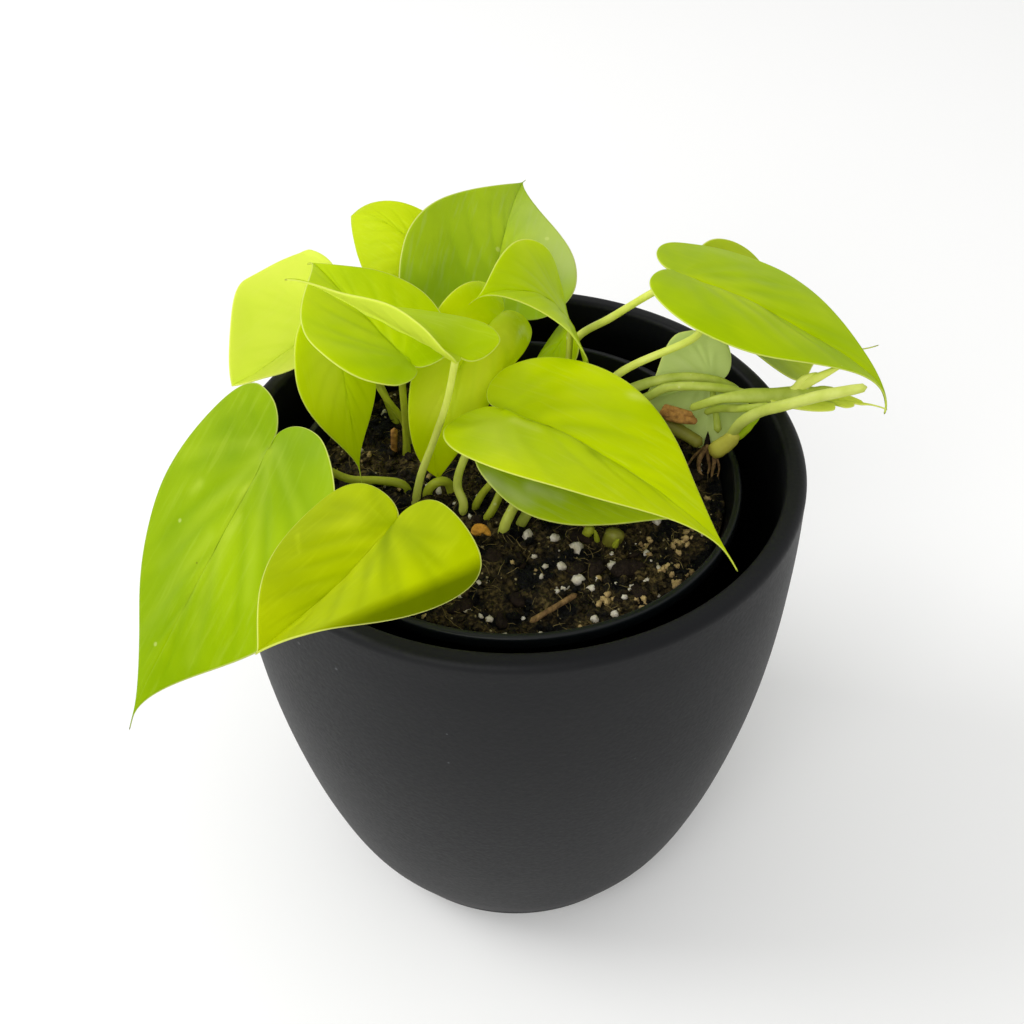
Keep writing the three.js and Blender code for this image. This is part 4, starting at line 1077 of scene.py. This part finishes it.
# The young shoot and the dry stub are strands side by side, in millimetres
add_strands("shoot_right_surface", (1.2, 0.9), [
    [(63, 4.6, 146.4), (67.4, 4.4, 148.2), (69.2, 3.8, 151), (72.2, 3, 153.8), (77, 4, 156)],
    [(64, 4.4, 146.8), (66.8, 4.2, 149), (68.4, 4, 152.2), (71.6, 4, 154)],
], *LOOKS["pale"], "shoot_right", wide=1.3)
STUB_ROUTE = np.array([(36.5, 10.7, 137), (40.4, 9.5, 136.7), (44.1, 9.1, 136)])
STUB_SHIFTS = np.array([(0, 0.6, 0.8), (0.5, -0.4, -0.6), (-0.6, -0.1, 0.1), (0.3, 0.8, -0.4)])
# How far the stub's free end spreads with each strand's shift in x
STUB_SPREAD = np.array([(0, 0, 0), (0, 0, 0), (1.2, 0, 0.4)])
add_strands(
    "stub_right_surface", (1.0, 1.1, 1.0, 0.8),
    [STUB_ROUTE + shift + STUB_SPREAD * shift[0] for shift in STUB_SHIFTS],
    *LOOKS["sheath"], "stub_right", taper=0.35, wide=1.2)
add_strands("spike_right", (1.3,), [
    [(48.3, 7.8, 123.5), (48.3, 8.3, 127), (48.3, 9.2, 129.5), (48.3, 9.9, 131.5)],
], *LOOKS["bark"], taper=0.95)
add_strands("rootlets_right", (0.7, 0.6, 0.5, 0.4, 0.4), [
    [(48.4, 7, 129.5), (46.2, 5, 126.5), (46, 3.8, 124.5), (47.1, 2.7, 122.2)],
    [(49.6, 5.5, 129), (49.7, 4, 126.2), (49.5, 3.6, 124.2), (49.3, 3, 122.2)],
    [(48, 6.5, 129), (48.4, 5.5, 126.2), (48.8, 4.8, 124), (48.4, 4, 122.2)],
    [(47.5, 7, 129), (45.2, 6.8, 126.2), (44.1, 6.8, 124), (43, 6.2, 122.2)],
    [(49, 6, 129), (50.6, 5, 126.2), (51.2, 4.4, 124), (50.8, 3, 122.2)],
], *LOOKS["twig"], taper=0.6)
add_strands("bud_front", (0.7, 0.8), [
    [(19.6, -20.4, 122.5), (19, -21.6, 126.2), (18.7, -22.2, 127.8)],
    [(23.6, -22.2, 122.5), (24, -23.6, 125.6), (24.3, -24.2, 126.8)],
], *LOOKS["olive"])

# Pots


def add_turned(name, profile, sectors, first, last, inside, material):
    """A turned wall, with a value that is 1 on its inside."""
    vertices, faces = shell(turned(profile, sectors), (0, 0, first), (0, 0, last))
    return make_piece(name + "_wall", vertices, faces, material, name, name, {
        "inside": with_poles(inside, sectors)})


foot_edge = arc((POT_FOOT_RADIUS - POT_FOOT_ROUND / 2, POT_FOOT_ROUND), POT_FOOT_ROUND, -90, -10, 6)
outside = soft_profile([(POT_FOOT_RADIUS + POT_FOOT_ROUND / 2, POT_FOOT_ROUND), *POT_OUTSIDE], 90)
outer_lip = arc((POT_LIP_OUTER_RADIUS, POT_HEIGHT - POT_LIP_OUTER_ROUND), POT_LIP_OUTER_ROUND, 0, 90, 10)
inner_lip = arc((POT_LIP_INNER_RADIUS, POT_HEIGHT - POT_LIP_INNER_ROUND), POT_LIP_INNER_ROUND, 90, 180, 8)
inner = [(min(r - POT_WALL, POT_MOUTH_RADIUS), z) for r, z in POT_OUTSIDE[:1:-1]]
inner = soft_profile([*inner, (POT_OUTSIDE[1][0] - POT_WALL, POT_FLOOR + POT_FLOOR_ROUND)], 60)
outer_side = np.concatenate([foot_edge, outside, outer_lip])
profile = np.concatenate([outer_side, inner_lip, inner, [(POT_OUTSIDE[0][0] - POT_WALL, POT_FLOOR)]])
# The inside is painted dark from just under the lip down, as painted shade of the gap
inside = smoothstep(POT_HEIGHT - POT_DARK_FROM, POT_HEIGHT - POT_DARK_FULL, profile[:, 1])
inside[:len(outer_side)] = 0
add_turned("outer_pot", profile, POT_SECTORS, 0, POT_FLOOR, inside, pot_charcoal)

bottom, neck = POT_FLOOR + GAP, NURSERY_TOP - NURSERY_RIM_DEPTH
rim_inner = NURSERY_RIM_RADIUS - NURSERY_RIM_WIDTH
profile = np.concatenate([
    [(NURSERY_FOOT_RADIUS - 0.001, bottom), (NURSERY_FOOT_RADIUS, bottom + 0.001),
     (NURSERY_NECK_RADIUS - 0.0002, neck - 0.0004), (NURSERY_RIM_RADIUS - 0.0005, neck),
     (NURSERY_RIM_RADIUS, neck + 0.0006)],
    arc((NURSERY_RIM_RADIUS - NURSERY_RIM_ROUND, NURSERY_TOP - NURSERY_RIM_ROUND), NURSERY_RIM_ROUND,
        0, 90, 6),
    arc((rim_inner + NURSERY_LIP_ROUND, NURSERY_TOP - NURSERY_LIP_ROUND), NURSERY_LIP_ROUND, 90, 180, 5),
    [(NURSERY_NECK_RADIUS - NURSERY_WALL, neck), (NURSERY_FOOT_RADIUS - NURSERY_WALL, bottom + NURSERY_WALL)],
])
inside = np.zeros(len(profile))
inside[-2:] = 1
add_turned("nursery_pot", profile, NURSERY_SECTORS, bottom, bottom + NURSERY_WALL, inside, pot_nursery)

# Soil


def rough_soil(x, y):
    """The soil's height: two crossed waves less a fall towards the rim, with clods and crumbs.

    Clods and lumps are noise folded at 0, so that they are round on top. They are calmer at the
    edge. Crumbs are two finer sizes of noise.
    """
    out = np.hypot(x, y)
    waves = np.sin(x / SOIL_WAVE + 1) * np.cos(y / SOIL_WAVE) + np.sin((x + y) / SOIL_RIPPLE) / 2
    low = SOIL_TOP + SOIL_BUMP * waves - SOIL_EDGE_DROP * (out / NURSERY_NECK_RADIUS) ** 4
    clods = 1 - np.abs(value_noise(x, y, CLOD_SIZE, 3))
    lumps = 1 - np.abs(value_noise(x, y, LUMP_SIZE, 4))
    crumbs = value_noise(x, y, CRUMB_SIZE, 5) + value_noise(x, y, CRUMB_SIZE / 2, 6) * 0.6
    calm = 0.35 + 0.65 * smoothstep(*CALM_EDGE, out)
    return low + (clods * CLOD_HEIGHT + lumps * LUMP_HEIGHT - CLOD_HEIGHT) * calm + crumbs * CRUMB_HEIGHT


def at_depth(z):
    """The soil's radius at a height, just inside the nursery pot's tapered wall."""
    rise = np.clip((z - bottom) / (neck - bottom), 0, 1)
    return NURSERY_FOOT_RADIUS + (NURSERY_NECK_RADIUS - NURSERY_FOOT_RADIUS) * rise - NURSERY_WALL - 2 * GAP


radii = at_depth(SOIL_TOP - SOIL_EDGE_DROP) * np.linspace(0, 1, SOIL_RINGS + 1)[1:]
surface = turned(np.stack([radii, 0 * radii], -1), SOIL_SECTORS)
surface[..., 2] = rough_soil(surface[..., 0], surface[..., 1])
depths = np.array([*SOIL_WALL_HEIGHTS, bottom + NURSERY_WALL + GAP])
side = turned(np.stack([at_depth(depths), depths], -1), SOIL_SECTORS)
vertices, faces = shell(
    np.concatenate([surface, side]), (0, 0, rough_soil(np.zeros(1), np.zeros(1))[0]), (0, 0, depths[-1]))
make_piece("soil_bed", vertices, faces, peat, "soil", "soil")


def scattered(count, inner_radius, outer_radius):
    """Random places on the soil, evenly spread over its area."""
    r = np.sqrt(random.uniform(inner_radius ** 2, outer_radius ** 2, count))
    turn = random.uniform(0, 2 * np.pi, count)
    return np.stack([r * np.cos(turn), r * np.sin(turn)], -1)


def add_grains(name, places, sizes, material, flat, rough, lift):
    """Rounded grains: a small globe grid, pulled about at random, stretched, turned and set down.

    flat is the height beside the width, rough how far a point is pulled in or out, and lift how far
    the middle stands over the soil, all as shares of the size.
    """
    count = len(places)
    polar = np.linspace(0, np.pi, GRAIN_ROWS + 2)[1:-1]
    globe = turned(np.stack([np.sin(polar), np.cos(polar)], -1), GRAIN_SIDES)
    globe, pattern = shell(globe, (0, 0, 1), (0, 0, -1))
    points = globe * (1 + random.uniform(-rough, rough, (count, len(globe), 1)))
    points *= random.uniform(0.75, 1.3, (count, 1, 3)) * (1, 1, flat)
    spin = random.uniform(0, 2 * np.pi, (count, 1))
    tilt = random.normal(0, 0.35, (count, 1))
    x, y, z = np.moveaxis(points, -1, 0)
    y, z = y * np.cos(tilt) - z * np.sin(tilt), y * np.sin(tilt) + z * np.cos(tilt)
    x, y = x * np.cos(spin) - y * np.sin(spin), x * np.sin(spin) + y * np.cos(spin)
    points = np.stack([x, y, z], -1) * np.reshape(sizes, (-1, 1, 1))
    height = rough_soil(places[:, 0], places[:, 1]) + sizes * flat * lift
    points += np.concatenate([places, height[:, None]], -1)[:, None]
    faces = [[corner + k * len(globe) for corner in polygon] for k in range(count) for polygon in pattern]
    make_piece(name, points.reshape(-1, 3), faces, material, "soil")


def add_fibres(name, places, lengths, material, radius, rise):
    """Fine root hairs: bent paths that rise in a low arc, swept with a small square."""
    count = len(places)
    t = np.linspace(-0.5, 0.5, FIBRE_STEPS)
    heading = random.uniform(0, 2 * np.pi, (count, 1)) + t * random.normal(0, 1.6, (count, 1))
    step = np.reshape(lengths, (-1, 1)) / FIBRE_STEPS
    x = np.cumsum(np.cos(heading) * step, 1) + places[:, :1]
    y = np.cumsum(np.sin(heading) * step, 1) + places[:, 1:]
    inward = np.minimum(1, FIBRE_REACH / np.maximum(np.hypot(x, y), 1e-9))
    x, y = x * inward, y * inward
    lift = (0.25 - t ** 2) * 4 * random.uniform(0.2, 1, (count, 1)) * rise
    paths = np.stack([x, y, rough_soil(x, y) + lift + radius / 2], -1)
    girth = radius * np.sqrt(1 - (np.abs(t) * 1.9) ** 2 * 0.9)
    parts = [rod(path, girth, FIBRE_SIDES, facing=(0.01, 0.02, 1.0)) for path in paths]
    make_piece(name, *join(parts), material, "soil")


# Grains whose places show: x, y and radius in millimetres
PERLITE_PLACES = metres([
    (3, -17.5, 1.3), (14.5, -23, 1.1), (7, -29, 0.6), (4.5, -25, 0.5), (6, -32, 0.5), (3.5, -35.5, 0.5),
    (9.5, -37, 0.7), (11, -35.5, 0.5), (14.5, -33, 1), (17.5, -35.5, 0.7), (22.5, -28, 1), (20, -26, 0.5),
    (31, -24, 0.7), (-6, -45, 0.7), (-6.5, -33.5, 0.6), (-8.5, -33.5, 0.5), (-11, -42.5, 0.7),
    (-2.5, -50, 0.5), (-5, -50, 0.5), (5.5, -49.5, 0.6), (22.5, -43.5, 0.7), (25, -38.5, 0.5),
])
# Middles of the clusters of tan grains, in millimetres
CLUMP_PLACES = metres([
    (32, -20), (34.5, -30), (40.5, -29.5), (40, -21), (29.5, -39.5), (21, -38.5), (37, -34), (43, -17),
])

places = scattered(CRUMBS, 0.0, 0.0512)
sizes = random.uniform(0.0004, 0.0013, CRUMBS)
add_grains("peat_crumbs", places, sizes, peat, flat=0.8, rough=0.3, lift=0.3)
places = scattered(BARK_BITS, 0.006, LOOSE_REACH)
sizes = random.uniform(0.001, 0.0028, BARK_BITS)
add_grains("bark_bits", places, sizes, LOOKS["bark"][0], flat=0.35, rough=0.3, lift=0.4)
places = np.concatenate([PERLITE_PLACES[:, :2], scattered(SMALL_PERLITE, 0.004, 0.051)])
sizes = np.concatenate([PERLITE_PLACES[:, 2] * 1.3, 0.0003 + 0.0008 * random.power(0.5, SMALL_PERLITE)])
add_grains("perlite_grains", places, sizes, perlite, flat=0.85, rough=0.3, lift=0.5)
clumps = np.repeat(CLUMP_PLACES, CLUMP_GRAINS, 0)
clumps += random.normal(0, CLUMP_SPREAD, clumps.shape)
clumps *= np.minimum(1, LOOSE_REACH / np.linalg.norm(clumps, axis=1, keepdims=True))
places = np.concatenate([clumps, scattered(SINGLE_GRIT, 0.02, 0.051)])
sizes = random.uniform(0.0003, 0.0009, len(places))
add_grains("tan_grit", places, sizes, grit, flat=0.8, rough=0.36, lift=0.5)
places = scattered(FIBRES, 0.0, 0.050)
lengths = random.uniform(0.003, 0.012, FIBRES)
add_fibres("root_fibres", places, lengths, LOOKS["fibre"][0], radius=0.00008, rise=0.0009)

# Floor, light and camera


def turn_and_place(made, right, up, back, place):
    """Stands an object at a place, with its own x, y and z along three directions."""
    axes = np.stack([right, up, back], 1)
    made.matrix_world = Matrix([[*axes[k], place[k]] for k in range(3)] + [[0, 0, 0, 1]])


def add_softbox(name, place, size, power):
    """A square light that faces the plant."""
    light = bpy.data.lights.new(name, "AREA")
    light.shape, light.size, light.energy = "SQUARE", size, power
    aim = unit(PLANT_MIDDLE - place)
    right = unit(np.cross(aim, (0, 0, 1)))
    turn_and_place(add_object(name, light), right, np.cross(right, aim), -aim, place)


floor_mesh = bpy.data.meshes.new("floor")
corners = [(x * FLOOR_REACH, y * FLOOR_REACH, 0) for x, y in ((-1, -1), (1, -1), (1, 1), (-1, 1))]
floor_mesh.from_pydata(corners, [], [(0, 1, 2, 3)])
paper = Finish("Floor paper", "ffffff")
floor_mesh.materials.append(paper.end(put(paper.tree, "ShaderNodeBsdfPrincipled", {
    "Base Color": (0.95, 0.95, 0.94, 1), "Roughness": 0.9}).outputs[0]))
floor = add_object("floor", floor_mesh)

world = bpy.data.worlds.new("Studio")
bpy.context.scene.world = world
world.use_nodes = True
sky = world.node_tree.nodes["Background"].inputs
sky["Color"].default_value = (1, 1, 1, 1)
sky["Strength"].default_value = SKY_STRENGTH
add_softbox("window", (-1.1, 0.1, 1.05), size=0.7, power=9)
add_softbox("fill", (-0.45, -1.1, 1.0), size=0.8, power=7.5)

camera_data = bpy.data.cameras.new("camera")
camera_data.sensor_width = SENSOR_WIDTH
camera_data.lens = FOCAL_PIXELS / FRAME_PIXELS * SENSOR_WIDTH
camera_data.clip_start, camera_data.clip_end = 0.01, 20
camera = add_object("camera", camera_data)
forward = unit(CAMERA_FORWARD)
right = unit(CAMERA_RIGHT - CAMERA_FORWARD * (CAMERA_RIGHT @ forward))
turn_and_place(camera, right, np.cross(right, forward), -forward, CAMERA_PLACE)
bpy.context.scene.camera = camera
bpy.context.scene.view_settings.view_transform = "Standard"
